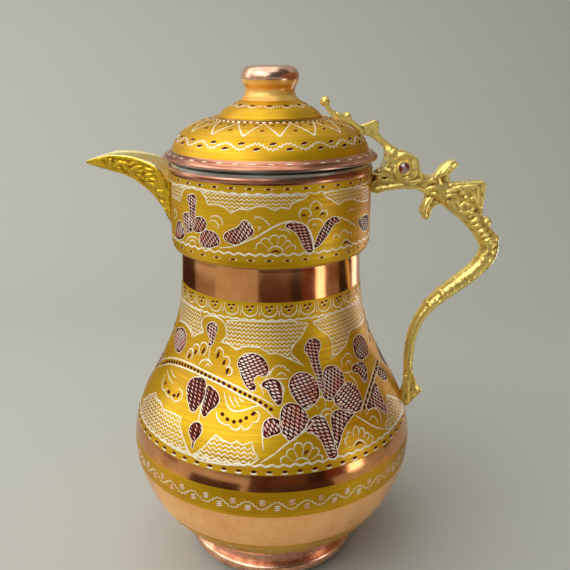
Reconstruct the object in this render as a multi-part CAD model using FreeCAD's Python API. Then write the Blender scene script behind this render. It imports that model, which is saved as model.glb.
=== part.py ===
import FreeCAD, Part
import math
import os

os.makedirs("parts", exist_ok=True)

# An engraved copper jug with a cast brass dragon handle, a beak spout and a hinged lid.
# Millimetres. Z is the axis of the jug, its foot stands on Z = 0, the handle lies towards +X.

# Sheet metal
sheet = 1.2
lap = 6.0

# Foot ring
foot_height = 13.5
foot_seat_radius = 45.5
foot_bead_radius = 44.5
foot_bead_height = 8.2
foot_groove_radius = 42.4
foot_inner_radius = 39.0

# Body: bowl, shoulder and neck
belly_radius = 71.8
belly_height = 65.0
seam_height = 62.0
neck_radius = 43.6
neck_top = 160.3

# Collar, its rim band and its tinned lip
collar_radius = 48.0
collar_height = 39.2
collar_corner = 6.2
collar_ledge = 0.9
rim_height = 2.7
rim_thickness = 1.4
rim_bulge = 0.3
lip_height = 7.8

# Pour window behind the spout
window_width = 17.0
window_low = 16.5
window_high = 30.0

# Lid
lid_gap = 0.3
flange_overhang = 2.3
flange_rise = 2.6
dome_inset = 1.8
dome_height = 13.9
crown_margin = 1.4
tier_seat = 6.6
skirt_clearance = 1.0
skirt_depth = 6.0
tier_setback = 22.4
tier_height = 8.1
tier_edge = 1.2
knob_radius = 13.4
knob_waist_radius = 11.5
knob_height = 15.1
knob_crown_radius = 8.8
tier_neck_flare = 2.0
screw_radius = 2.0
screw_length = 11.0
screw_head_radius = 3.8
screw_head_height = 2.4
washer_radius = 6.0
washer_thickness = 1.0

# Hinge
hinge_reach = 7.2
hinge_rise = 1.5
pin_radius = 1.5
pin_fit = 0.05
pin_head_radius = 2.3
pin_head_height = 0.8
knuckle_radius = 3.0
knuckle_width = 5.0
hinge_side_gap = 0.3
ear_width = 3.0

# Lever on the lid
strap_thickness = 3.2
strap_width = 8.0
strap_setback = 5.4
strap_end_setback = 14.0
tip_ball_radius = 2.3
tip_rise = 7.2
lever_rivet_radius = 1.0
lever_rivet_head = 1.8
lever_rivet_spacing = 4.4
lever_rivet_inset = 3.8
lever_rivet_tail = 0.8
lever_rivet_sink = 0.4
lever_rove_radius = 2.0
lever_rove_thickness = 0.8

# Unit of the cast pieces' outlines and stations
cast_unit = 1.0

# Handle
head_half_depth = 6.6
stone_radius = 2.9
stone_seat = 1.0
stone_girdle = 1.4
mouth_ball_radius = 2.7
horn_half_depth = 2.4
spur_half_depth = 2.6
crest_half_depth = 3.4
tail_half_depth = 3.2
tail_rise = 8.0
tail_margin = 1.2
stud_radius = 1.2
stud_head_radius = 2.0
stud_head_height = 1.2
stud_bite = 3.0
tail_stud_rise = 1.5
rove_radius = 2.6
rove_thickness = 0.9

# Spout
spout_wall = 2.0
spout_reach = 39.5
spout_root_low = 12.1
spout_root_half_width = 13.5

up = FreeCAD.Vector(0, 0, 1)
across = FreeCAD.Vector(0, 1, 0)
outward = FreeCAD.Vector(1, 0, 0)
centre = FreeCAD.Vector(0, 0, 0)


def point(reach, height, side=0.0):
    return FreeCAD.Vector(reach, side, height)


def spline(points):
    curve = Part.BSplineCurve()
    curve.interpolate(points)
    return curve


def line(start, end):
    return Part.makeLine(start, end)


def arc(start, middle, end):
    return Part.Arc(start, middle, end).toShape()


def turned(edges):
    """A solid of revolution about the jug's axis, from a closed outline of edges."""
    outline = Part.Wire(Part.__sortEdges__(edges))
    return Part.Face(outline).revolve(centre, up, 360)


def turned_polygon(points):
    corners = [point(radius, height) for radius, height in points]
    return Part.Face(Part.makePolygon(corners + corners[:1])).revolve(centre, up, 360)


def plate(points, half_depth):
    """An upright plate in the handle's plane, as thick on both sides of it."""
    corners = [point(reach, height, -half_depth) for reach, height in points]
    outline = Part.Face(Part.makePolygon(corners + corners[:1]))
    return outline.extrude(across * (2 * half_depth))


def moved(points, reach, height):
    """An outline in cast units, moved to its place."""
    return [(reach + cast_unit * along, height + cast_unit * rise) for along, rise in points]


def parameter_at(curve, height):
    """The parameter where a curve that only climbs, or only falls, passes a height."""
    low, high = curve.FirstParameter, curve.LastParameter
    climbs = curve.value(high).z > curve.value(low).z
    for _ in range(60):
        middle = (low + high) / 2
        if (curve.value(middle).z < height) == climbs:
            low = middle
        else:
            high = middle
    return low


def height_at(curve, radius):
    """The height where a curve that only widens, or only narrows, passes a radius."""
    low, high = curve.FirstParameter, curve.LastParameter
    widens = curve.value(high).x > curve.value(low).x
    for _ in range(60):
        middle = (low + high) / 2
        if (curve.value(middle).x < radius) == widens:
            low = middle
        else:
            high = middle
    return curve.value(low).z


def piece_of(curve, first, last):
    part = curve.copy()
    part.segment(first, last)
    return part


def inside_of(curve, distance, count=15):
    """The curve moved towards the axis by a distance, square to itself."""
    points = []
    for step in range(count):
        span = curve.LastParameter - curve.FirstParameter
        place = curve.FirstParameter + span * step / (count - 1)
        tangent = curve.tangent(place)[0]
        normal = FreeCAD.Vector(-tangent.z, 0, tangent.x)
        points.append(curve.value(place) + normal * distance)
    return spline(points)


def save(shape, name):
    if shape.ShapeType != "Solid" and len(shape.Solids) == 1:
        shape = shape.Solids[0]
    shape.exportStep(os.path.join("parts", name + ".step"))
    print(name, "solids", len(shape.Solids), "volume %.1f" % shape.Volume, "valid", shape.isValid())


# Heights that follow from the sizes
rim_seat = neck_top + collar_height
rim_outer = collar_radius + rim_bulge
lip_radius = rim_outer - rim_thickness
lip_top = rim_seat + lip_height
flange_radius = collar_radius + flange_overhang
dome_foot_radius = collar_radius - dome_inset
flange_slope = flange_rise / (flange_radius - dome_foot_radius)
flange_edge = lip_top + lid_gap - flange_slope * (flange_radius - lip_radius)
dome_foot = flange_edge + flange_rise + sheet
crown = dome_foot + dome_height
tier_top = crown + tier_height
tier_radius = collar_radius - tier_setback
crown_radius = tier_radius + crown_margin
crown_hole_radius = tier_radius - tier_seat
strap_inner_radius = tier_radius + strap_setback
pin_reach = flange_radius + hinge_reach
pin_height = flange_edge + hinge_rise
ear_gap = knuckle_width / 2 + hinge_side_gap
ear_outer = ear_gap + ear_width
tail_height = seam_height + lap + tail_rise

# Body profile: shares of the climb from the foot to the belly, and of the fall from belly to neck
bowl_shape = [(0.204, 0.426), (0.573, 0.855)]
shoulder_shape = [(0.168, 0.131), (0.430, 0.578), (0.577, 0.794), (0.760, 0.945)]

profile_points = [point(foot_seat_radius, foot_height)]
for climb, swell in bowl_shape:
    profile_points.append(point(
        foot_seat_radius + swell * (belly_radius - foot_seat_radius),
        foot_height + climb * (belly_height - foot_height)))
profile_points.append(point(belly_radius, belly_height))
for climb, shrink in shoulder_shape:
    profile_points.append(point(
        belly_radius + shrink * (neck_radius - belly_radius),
        belly_height + climb * (neck_top - belly_height)))
profile_points.append(point(neck_radius, neck_top))
profile = spline(profile_points)
seam = parameter_at(profile, seam_height)
bowl_curve = piece_of(profile, profile.FirstParameter, seam)
shoulder_curve = piece_of(profile, seam, profile.LastParameter)
bowl_inside = inside_of(bowl_curve, sheet)
shoulder_inside = inside_of(shoulder_curve, sheet)
neck_inner = shoulder_inside.value(shoulder_inside.LastParameter).x

# Foot ring: a turned copper ring with a bead at the table and a flared seat
foot_ring = turned([
    line(point(foot_inner_radius, 0), point(foot_groove_radius, 0)),
    arc(point(foot_groove_radius, 0), point(foot_bead_radius, foot_bead_height / 2),
        point(foot_groove_radius, foot_bead_height)),
    arc(point(foot_groove_radius, foot_bead_height),
        point(foot_groove_radius + 0.2 * (foot_seat_radius - foot_groove_radius),
              (foot_bead_height + foot_height) / 2),
        point(foot_seat_radius, foot_height)),
    line(point(foot_seat_radius, foot_height), point(foot_inner_radius, foot_height)),
    line(point(foot_inner_radius, foot_height), point(foot_inner_radius, 0)),
])
save(foot_ring, "foot_ring")

# Lower bowl: spun, with a flat bottom and an edge that laps inside the shoulder
bowl_bottom = bowl_inside.value(bowl_inside.FirstParameter)
bowl_rim = bowl_inside.value(bowl_inside.LastParameter)
floor_top = foot_height + sheet
floor_reach = foot_seat_radius - sheet
bowl_wall = turned([
    line(point(0, foot_height), point(foot_seat_radius, foot_height)),
    bowl_curve.toShape(),
    line(bowl_curve.value(bowl_curve.LastParameter), bowl_rim),
    bowl_inside.toShape(),
    line(bowl_bottom, point(floor_reach - sheet, floor_top)),
    line(point(floor_reach - sheet, floor_top), point(0, floor_top)),
    line(point(0, floor_top), point(0, foot_height)),
])
lap_end = parameter_at(shoulder_inside, seam_height + lap)
lap_curve = piece_of(shoulder_inside, shoulder_inside.FirstParameter, lap_end)
lap_foot = lap_curve.value(lap_curve.FirstParameter)
lap_head = lap_curve.value(lap_curve.LastParameter)
lap_root = bowl_inside.value(parameter_at(bowl_inside, seam_height - lap / 2))
lap_middle = (bowl_curve.value(bowl_curve.LastParameter) + bowl_rim) * 0.5
lap_root_outer = lap_root + outward * (sheet / 2)
lap_ring = turned([
    line(lap_root_outer, lap_middle),
    line(lap_middle, lap_foot),
    lap_curve.toShape(),
    line(lap_head, lap_head - outward * sheet),
    line(lap_head - outward * sheet, lap_root - outward * sheet),
    line(lap_root - outward * sheet, lap_root_outer),
])
lower_bowl = bowl_wall.fuse(lap_ring).removeSplitter()
save(lower_bowl, "lower_bowl")

# Upper body: shoulder and neck, spun in one
upper_body = turned([
    shoulder_curve.toShape(),
    line(shoulder_curve.value(shoulder_curve.LastParameter),
         shoulder_inside.value(shoulder_inside.LastParameter)),
    shoulder_inside.toShape(),
    line(shoulder_inside.value(shoulder_inside.FirstParameter),
         shoulder_curve.value(shoulder_curve.FirstParameter)),
])

# Collar: spun, with a ledge on the neck, a spigot inside it and a stepped-in lip
ledge_radius = neck_radius + collar_ledge
collar_inner = collar_radius - sheet
spigot_inner = neck_inner - sheet
corner_share = 0.293
corner_middle = point(
    collar_radius - corner_share * (collar_radius - ledge_radius), neck_top + corner_share * collar_corner)
collar = turned([
    line(point(neck_inner, neck_top), point(ledge_radius, neck_top)),
    arc(point(ledge_radius, neck_top), corner_middle, point(collar_radius, neck_top + collar_corner)),
    line(point(collar_radius, neck_top + collar_corner), point(collar_radius, rim_seat)),
    line(point(collar_radius, rim_seat), point(lip_radius, rim_seat)),
    line(point(lip_radius, rim_seat), point(lip_radius, lip_top)),
    line(point(lip_radius, lip_top), point(lip_radius - sheet, lip_top)),
    line(point(lip_radius - sheet, lip_top), point(lip_radius - sheet, rim_seat - sheet)),
    line(point(lip_radius - sheet, rim_seat - sheet), point(collar_inner, rim_seat - sheet)),
    line(point(collar_inner, rim_seat - sheet), point(collar_inner, neck_top + collar_corner)),
    line(point(collar_inner, neck_top + collar_corner), point(ledge_radius - sheet, neck_top + sheet)),
    line(point(ledge_radius - sheet, neck_top + sheet), point(spigot_inner, neck_top + sheet)),
    line(point(spigot_inner, neck_top + sheet), point(spigot_inner, neck_top - lap)),
    line(point(spigot_inner, neck_top - lap), point(neck_inner, neck_top - lap)),
    line(point(neck_inner, neck_top - lap), point(neck_inner, neck_top)),
])
neck_bore = turned_polygon([
    (spigot_inner, neck_top - lap), (neck_inner, neck_top - lap),
    (neck_inner, neck_top), (spigot_inner, neck_top)])
above_neck = Part.makeCylinder(collar_radius, sheet, point(0, neck_top), up)
upper_body = upper_body.cut(neck_bore).cut(above_neck)
window_arch = window_width / 2
window = Part.makeBox(
    collar_radius, window_width, window_high - window_low - window_arch,
    point(-collar_radius - sheet, neck_top + window_low, -window_width / 2))
window = window.fuse(Part.makeCylinder(
    window_arch, collar_radius,
    point(-collar_radius - sheet, neck_top + window_high - window_arch), outward))
collar = collar.cut(window)

# Mouth rim: a rolled copper band soldered on the step below the lip
mouth_rim = turned([
    line(point(lip_radius, rim_seat), point(collar_radius, rim_seat)),
    arc(point(collar_radius, rim_seat), point(rim_outer, rim_seat + rim_height / 2),
        point(collar_radius, rim_seat + rim_height)),
    line(point(collar_radius, rim_seat + rim_height), point(lip_radius, rim_seat + rim_height)),
    line(point(lip_radius, rim_seat + rim_height), point(lip_radius, rim_seat)),
])
save(mouth_rim, "mouth_rim")

# The outside of the jug, filled, which trims what is soldered or riveted to it
jug_outside = turned([
    line(point(0, foot_height), point(foot_seat_radius, foot_height)),
    profile.toShape(),
    line(point(neck_radius, neck_top), point(0, neck_top)),
    line(point(0, neck_top), point(0, foot_height)),
])
collar_outside = turned_polygon([
    (0, neck_top + collar_corner), (collar_radius, neck_top + collar_corner),
    (collar_radius, rim_seat), (0, rim_seat)])
rim_outside = turned_polygon([
    (0, rim_seat), (rim_outer, rim_seat), (rim_outer, rim_seat + rim_height), (0, rim_seat + rim_height)])

# Spout: an open cast beak, from stations of reach, half width, rim height and keel height, first those
# measured from its tip and then those measured from the collar, where the width is a share of the root's
spout_root = neck_top + spout_root_low
rim_line = rim_seat + rim_height
spout_tip = collar_radius + spout_reach
beak_stations = [
    (0.0, 0.7, 0.9, -0.6), (-3.5, 3.4, 2.1, -1.7), (-11.5, 6.6, 4.0, -3.9), (-19.5, 8.6, 4.2, -6.4),
    (-27.5, 10.6, 3.0, -11.3)]
root_stations = [
    (6.0, 0.904, 1.2, 12.4), (2.4, 0.963, -2.2, 4.6), (-1.2, 1.0, -6.6, -1.5), (-5.0, 1.0, -9.0, -4.0)]
spout_stations = []
for reach, half_width, rim, keel in beak_stations:
    spout_stations.append((
        spout_tip + cast_unit * reach, cast_unit * half_width, rim_line + cast_unit * rim,
        rim_line + cast_unit * keel))
for reach, half_width, rim, keel in root_stations:
    spout_stations.append((
        collar_radius + cast_unit * reach, half_width * spout_root_half_width, rim_line + cast_unit * rim,
        spout_root + cast_unit * keel))
half_turn_steps = 8


def beak_section(reach, half_width, rim, keel):
    bottom = []
    for step in range(half_turn_steps + 1):
        turn = math.pi * step / half_turn_steps
        bottom.append(point(-reach, rim - (rim - keel) * math.sin(turn), -half_width * math.cos(turn)))
    return Part.Wire([spline(bottom).toShape(), line(bottom[-1], bottom[0])])


channel_rise = 2.0 * cast_unit
spout_outside = Part.makeLoft([beak_section(*station) for station in spout_stations], True)
channel_stations = []
for reach, half_width, rim, keel in spout_stations[1:]:
    channel_stations.append((reach, half_width - spout_wall, rim + channel_rise, keel + spout_wall))
spout_channel = Part.makeLoft([beak_section(*station) for station in channel_stations], True)
spout = spout_outside.cut(spout_channel)
spout = spout.cut(collar_outside).cut(rim_outside)
save(spout, "spout")

# Lid dome: spun, with a sloping flange and a flat seat round the crown hole
dome_curve = spline([
    point(dome_foot_radius, dome_foot),
    point(dome_foot_radius - 0.9, dome_foot + 0.18 * dome_height),
    point(crown_radius + 0.86 * (dome_foot_radius - crown_radius), dome_foot + 0.38 * dome_height),
    point(crown_radius + 0.62 * (dome_foot_radius - crown_radius), dome_foot + 0.70 * dome_height),
    point(crown_radius + 0.30 * (dome_foot_radius - crown_radius), dome_foot + 0.91 * dome_height),
    point(crown_radius, crown),
])
dome_inside = inside_of(dome_curve, sheet)
inside_foot = dome_inside.value(dome_inside.FirstParameter)
inside_crown = dome_inside.value(dome_inside.LastParameter)
flange_under_foot = point(inside_foot.x, dome_foot - sheet)
lid_dome = turned([
    dome_curve.toShape(),
    line(point(crown_radius, crown), point(crown_hole_radius, crown)),
    line(point(crown_hole_radius, crown), point(crown_hole_radius, crown - sheet)),
    line(point(crown_hole_radius, crown - sheet), inside_crown),
    dome_inside.toShape(),
    line(inside_foot, flange_under_foot),
    line(flange_under_foot, point(dome_foot_radius, dome_foot - sheet)),
    line(point(dome_foot_radius, dome_foot - sheet), point(flange_radius, flange_edge)),
    line(point(flange_radius, flange_edge), point(flange_radius, flange_edge + sheet)),
    line(point(flange_radius, flange_edge + sheet), point(dome_foot_radius, dome_foot)),
])
dome_outside = turned([
    dome_curve.toShape(),
    line(point(crown_radius, crown), point(0, crown)),
    line(point(0, crown), point(0, flange_edge)),
    line(point(0, flange_edge), point(flange_radius, flange_edge)),
    line(point(flange_radius, flange_edge), point(flange_radius, flange_edge + sheet)),
    line(point(flange_radius, flange_edge + sheet), point(dome_foot_radius, dome_foot)),
])

# Lid skirt: a tinned ring soldered below the dome, which finds the mouth
skirt_radius = lip_radius - sheet - skirt_clearance
skirt_low = lip_top - skirt_depth
lid_skirt = turned_polygon([
    (skirt_radius - sheet, skirt_low), (skirt_radius, skirt_low),
    (skirt_radius, crown), (skirt_radius - sheet, crown)])
above_dome = turned([
    dome_inside.toShape(),
    line(inside_crown, point(inside_crown.x, crown + sheet)),
    line(point(inside_crown.x, crown + sheet), point(flange_radius, crown + sheet)),
    line(point(flange_radius, crown + sheet), point(flange_radius, inside_foot.z)),
    line(point(flange_radius, inside_foot.z), inside_foot),
])
lid_skirt = lid_skirt.cut(above_dome)
save(lid_skirt, "lid_skirt")

# Lid tier: a raised cap soldered on the crown
tier_neck = knob_waist_radius + tier_neck_flare
tier_curve = spline([
    point(tier_radius, crown + tier_edge),
    point(tier_neck + 0.62 * (tier_radius - tier_neck), crown + 0.52 * tier_height),
    point(tier_neck + 0.20 * (tier_radius - tier_neck), crown + 0.84 * tier_height),
    point(tier_neck, tier_top),
])
tier_inside = inside_of(tier_curve, sheet)
tier_inside_foot = tier_inside.value(tier_inside.FirstParameter)
tier_inside_top = tier_inside.value(tier_inside.LastParameter)
tier_hole = screw_radius + pin_fit
tier_ceiling = tier_inside_top.z - sheet
lid_tier = turned([
    tier_curve.toShape(),
    line(point(tier_neck, tier_top), point(tier_hole, tier_top)),
    line(point(tier_hole, tier_top), point(tier_hole, tier_ceiling)),
    line(point(tier_hole, tier_ceiling), point(tier_inside_top.x, tier_ceiling)),
    line(point(tier_inside_top.x, tier_ceiling), tier_inside_top),
    tier_inside.toShape(),
    line(tier_inside_foot, point(tier_inside_foot.x, crown)),
    line(point(tier_inside_foot.x, crown), point(tier_radius, crown)),
    line(point(tier_radius, crown), point(tier_radius, crown + tier_edge)),
])
save(lid_tier, "lid_tier")

# Lid knob: turned copper, held from inside by a screw
knob_top = tier_top + knob_height
knob_curve = spline([
    point(tier_neck, tier_top),
    point(knob_waist_radius, tier_top + 0.24 * knob_height),
    point(0.955 * knob_radius, tier_top + 0.50 * knob_height),
    point(knob_radius, tier_top + 0.68 * knob_height),
    point(0.91 * knob_radius, tier_top + 0.88 * knob_height),
    point(knob_crown_radius, knob_top),
])
thread_top = tier_ceiling - washer_thickness + screw_length
lid_knob = turned([
    knob_curve.toShape(),
    line(point(knob_crown_radius, knob_top), point(0, knob_top)),
    line(point(0, knob_top), point(0, thread_top)),
    line(point(0, thread_top), point(screw_radius, thread_top)),
    line(point(screw_radius, thread_top), point(screw_radius, tier_top)),
    line(point(screw_radius, tier_top), point(tier_neck, tier_top)),
])
save(lid_knob, "lid_knob")
knob_washer = turned_polygon([
    (tier_hole, tier_ceiling - washer_thickness), (washer_radius, tier_ceiling - washer_thickness),
    (washer_radius, tier_ceiling), (tier_hole, tier_ceiling)])
save(knob_washer, "knob_washer")
screw_seat = tier_ceiling - washer_thickness
knob_screw = turned_polygon([
    (0, screw_seat - screw_head_height), (screw_head_radius, screw_seat - screw_head_height),
    (screw_head_radius, screw_seat), (screw_radius, screw_seat),
    (screw_radius, thread_top), (0, thread_top)])
save(knob_screw, "knob_screw")

# Lever: a cast strap that lies on the dome and bridges to the hinge, with a thumb lug and a ball tip
bridge = moved([
    (0.5, 2.8), (-2.1, 5.0), (-4.1, 6.4), (-7.0, 9.3), (-15.7, 13.1),
    (-15.6, 9.0), (-10.4, 7.4), (-7.2, 5.0), (-4.0, 2.3), (-2.6, -1.0)], pin_reach, pin_height)
lug = moved([
    (-15.7, 12.6), (-11.5, 13.9), (-8.8, 15.3), (-6.8, 14.2), (-7.2, 9.0), (-10.0, 8.0)],
    pin_reach, pin_height)
strap_outer_radius = pin_reach - strap_end_setback
strap_middle_radius = (strap_outer_radius + strap_inner_radius) / 2
strap_top = []
for radius in (strap_outer_radius, strap_middle_radius, strap_inner_radius):
    strap_top.append((radius, height_at(dome_curve, radius) + strap_thickness))
strap_sink = 3.0 * cast_unit
strap_foot = [(radius, height - strap_thickness - strap_sink) for radius, height in reversed(strap_top)]
tip_height = crown + tip_rise
tip_reach = tier_radius - 0.2 * cast_unit
strap_end = strap_top[-1]
tip = moved([(2.0, -0.9), (-2.6, 1.2)], *strap_end)
tip += moved([(1.2, 0.0), (-1.2, 0.0)], tip_reach, tip_height)
tip += moved([(-4.6, 0.4), (-1.4, -2.6), (1.0, -4.0)], *strap_end)
knuckle = Part.makeCylinder(
    knuckle_radius, knuckle_width, point(pin_reach, pin_height, -knuckle_width / 2), across)
knuckle_bore = Part.makeCylinder(
    pin_radius + pin_fit, knuckle_width, point(pin_reach, pin_height, -knuckle_width / 2), across)
lid_lever = plate(strap_top + strap_foot, strap_width / 2).multiFuse([
    plate(bridge, knuckle_width / 2), plate(lug, knuckle_width / 2), plate(tip, tip_ball_radius * 0.8),
    Part.makeSphere(tip_ball_radius, point(tip_reach, tip_height)), knuckle])
lid_lever = lid_lever.cut(knuckle_bore).cut(dome_outside)

# Rivets and roves that hold the lever's strap on the dome, square to the dome
lever_rivet_reach = strap_inner_radius + lever_rivet_inset
rivet_seat_height = height_at(dome_curve, lever_rivet_reach)
slope_step = 1.0
dome_fall = height_at(dome_curve, lever_rivet_reach + slope_step) - rivet_seat_height
dome_tilt = math.degrees(math.atan2(-dome_fall, slope_step))
rivet_axis = FreeCAD.Vector(math.sin(math.radians(dome_tilt)), 0, math.cos(math.radians(dome_tilt)))
rivet_depth = sheet + lever_rove_thickness + lever_rivet_tail
rivets, roves, rivet_holes = [], [], []
for side in (-1, 1):
    seat = point(lever_rivet_reach, rivet_seat_height, side * lever_rivet_spacing / 2)
    shank = Part.makeCylinder(
        lever_rivet_radius, rivet_depth + strap_thickness, seat - rivet_axis * rivet_depth, rivet_axis)
    head = Part.makeSphere(lever_rivet_head, seat + rivet_axis * (strap_thickness - lever_rivet_sink))
    tail = Part.makeSphere(0.8 * lever_rivet_head, seat - rivet_axis * rivet_depth)
    rove = Part.makeCylinder(
        lever_rove_radius, lever_rove_thickness + sheet / 2,
        seat - rivet_axis * (sheet + lever_rove_thickness), rivet_axis)
    rivet_holes.append(shank)
    roves.append(rove.cut(shank).cut(lid_dome))
    rivets.append(shank.fuse(head.cut(lid_lever)).fuse(tail.cut(rove)))
lid_lever = lid_lever.cut(rivet_holes[0]).cut(rivet_holes[1])
lid_dome = lid_dome.cut(rivet_holes[0]).cut(rivet_holes[1])
save(lid_lever, "lid_lever")
save(lid_dome, "lid_dome")
save(Part.makeCompound(rivets), "lever_rivets")
save(Part.makeCompound(roves), "lever_roves")

# Handle: head in profile, rounded across, with the clevis for the hinge
jaw_reach = collar_radius - 2.0 * cast_unit
head_outline = moved([
    (-4.0, 2.6), (-1.7, 3.5), (3.0, 0.8), (6.0, 0.7), (9.1, -0.7), (11.4, -3.7), (13.6, -9.2), (17.3, -11.0),
    (21.5, -11.5), (21.5, -18.5), (16.9, -19.3), (14.7, -17.7), (11.6, -16.8), (5.4, -16.5), (-3.1, -17.5),
    (-6.8, -19.0)], pin_reach, pin_height)
jaw_low = pin_height - 17.4 * cast_unit
jaw_high = pin_height - 9.2 * cast_unit
head_outline += [(jaw_reach, jaw_low), (jaw_reach, jaw_high)]
head_outline += moved([(-6.2, -9.2), (-4.8, -7.6), (-3.1, -4.0), (-3.2, -0.1)], pin_reach, pin_height)
cheek_half_length = 26.0 * cast_unit
cheek_half_height = 21.0 * cast_unit
cheek_reach = pin_reach + 3.0 * cast_unit
cheek_middle = pin_height - 7.0 * cast_unit
cheeks = Part.makeSphere(1.0)
rounding = FreeCAD.Matrix()
rounding.scale(cheek_half_length, head_half_depth, cheek_half_height)
rounding.move(point(cheek_reach, cheek_middle))
cheeks = cheeks.transformGeometry(rounding)
mouth = moved([(-14.0, -14.0), (-1.0, -11.3), (-14.0, -9.0)], pin_reach, pin_height)
stud_heights = [pin_height - 16.0 * cast_unit, pin_height - 11.3 * cast_unit]
mouth_ball = Part.makeSphere(mouth_ball_radius, point(pin_reach - 5.6 * cast_unit, stud_heights[1]))
tongue_length = pin_reach - 3.0 * cast_unit - jaw_reach
tongue = Part.makeCylinder(0.8 * mouth_ball_radius, tongue_length, point(jaw_reach, stud_heights[1]), outward)
head = plate(head_outline, head_half_depth).common(cheeks)
head = head.cut(plate(mouth, head_half_depth)).fuse(mouth_ball).fuse(tongue)

# Neck and grip: stations of share of the drop, swing outwards, half width and half depth
nape = (pin_reach + 18.5 * cast_unit, pin_height - 15.5 * cast_unit)
tail_reach = profile.value(parameter_at(profile, tail_height)).x + tail_margin
grip_stations = [
    (-0.008, -4.5, 4.0, 4.6), (0.000, 0.0, 4.6, 4.8), (0.036, 8.2, 5.4, 5.0), (0.087, 15.9, 5.2, 5.0),
    (0.146, 23.1, 4.5, 4.8), (0.201, 28.5, 4.4, 4.7), (0.247, 32.3, 4.9, 4.8), (0.286, 32.8, 4.8, 4.8),
    (0.328, 31.0, 4.7, 4.7), (0.364, 27.8, 4.4, 4.6), (0.420, 20.9, 4.3, 4.5), (0.469, 14.0, 3.9, 4.3),
    (0.520, 8.0, 3.5, 4.1), (0.574, 3.4, 2.9, 3.9), (0.636, 0.6, 2.7, 3.8), (0.700, -0.7, 2.6, 3.7),
    (0.778, -0.9, 2.6, 3.6), (0.861, 0.0, 2.4, 3.5), (0.926, 1.5, 2.4, 3.3), (0.985, 1.6, 1.8, 2.8),
]
grip_centres = []
for drop, swing, half_width, half_depth in grip_stations:
    grip_centres.append(point(
        nape[0] + drop * (tail_reach - nape[0]) + cast_unit * swing,
        nape[1] + drop * (tail_height - nape[1])))
section_steps = 8
grip_wires = []
for index, (drop, swing, half_width, half_depth) in enumerate(grip_stations):
    ahead = grip_centres[min(index + 1, len(grip_centres) - 1)]
    behind = grip_centres[max(index - 1, 0)]
    along = (ahead - behind).normalize()
    square = FreeCAD.Vector(-along.z, 0, along.x)
    ring = []
    for step in range(section_steps):
        turn = 2 * math.pi * step / section_steps
        ring.append(grip_centres[index] + square * (cast_unit * half_width * math.cos(turn))
                    + across * (cast_unit * half_depth * math.sin(turn)))
    outline = Part.BSplineCurve()
    outline.interpolate(ring, PeriodicFlag=True)
    grip_wires.append(Part.Wire(outline.toShape()))
grip = Part.makeLoft(grip_wires, True)

horn = moved([
    (1.0, 2.0), (3.2, 6.7), (5.5, 9.7), (7.5, 11.2), (9.9, 11.8), (13.0, 10.6), (13.5, 9.9), (10.5, 6.9),
    (8.9, 4.8), (9.7, 2.4), (9.0, -2.0), (3.0, -2.0)], nape[0], nape[1])
spur = moved([
    (-1.7, -2.0), (-1.7, -6.0), (-3.0, -10.1), (-2.5, -13.8), (-0.8, -16.9), (1.1, -15.7), (1.7, -11.9),
    (3.8, -9.4), (5.9, -9.3), (7.0, -4.0)], nape[0], nape[1])
crest = moved([
    (8.0, -1.5), (10.0, 1.2), (18.0, 1.6), (25.7, 2.2), (26.9, 0.9), (26.3, -9.2), (26.3, -14.1),
    (22.0, -17.5), (14.0, -9.0)], nape[0], nape[1])
leaf = moved([
    (2.4, 16.4), (3.9, 11.7), (7.9, 7.1), (4.4, 3.0), (0.5, -1.7), (-3.0, -1.5), (-3.4, 4.0), (-1.6, 9.0),
    (-1.9, 15.7)], tail_reach, tail_height)
handle = grip.multiFuse([
    head, plate(horn, horn_half_depth), plate(spur, spur_half_depth), plate(crest, crest_half_depth),
    plate(leaf, tail_half_depth)])
handle = handle.cut(jug_outside).cut(collar_outside).cut(rim_outside)
slot_room = 0.5 * cast_unit
slot_outline = moved([
    (-6.0, -2.0), (-2.5, -3.2), (0.0, -3.6), (2.5, -3.2), (6.0, -2.6), (12.0, -2.6), (12.0, 8.0),
    (-6.0, 8.0)], pin_reach, pin_height)
slot = plate(slot_outline, ear_gap)
slot = slot.fuse(Part.makeCylinder(
    knuckle_radius + slot_room, 2 * ear_gap, point(pin_reach, pin_height, -ear_gap), across))
pin_hole = Part.makeCylinder(
    pin_radius, 4 * head_half_depth, point(pin_reach, pin_height, -2 * head_half_depth), across)
handle = handle.cut(slot).cut(pin_hole)
for side in (-1, 1):
    handle = handle.cut(Part.makeCylinder(
        pin_head_radius, head_half_depth, point(pin_reach, pin_height, side * ear_outer), across * side))

# Eye stones, set in shallow seats on both cheeks
stone_reach = pin_reach + 5.1 * cast_unit
stone_height = pin_height - 6.6 * cast_unit
lean_along = (stone_reach - cheek_reach) / cheek_half_length
lean_up = (stone_height - cheek_middle) / cheek_half_height
cheek_depth = head_half_depth * math.sqrt(1 - lean_along ** 2 - lean_up ** 2)
stones = []
for side in (-1, 1):
    seat = point(stone_reach, stone_height, side * (cheek_depth - stone_seat))
    girdle = Part.makeCylinder(stone_radius, stone_girdle, seat, across * side)
    dome = Part.makeSphere(stone_radius, seat + across * (side * (stone_girdle - 0.6 * stone_radius)))
    stone = girdle.fuse(dome.common(Part.makeCylinder(stone_radius, 2 * stone_radius, seat, across * side)))
    stones.append(stone.removeSplitter())
    handle = handle.cut(stone)
save(Part.makeCompound(stones), "eye_stones")

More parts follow.
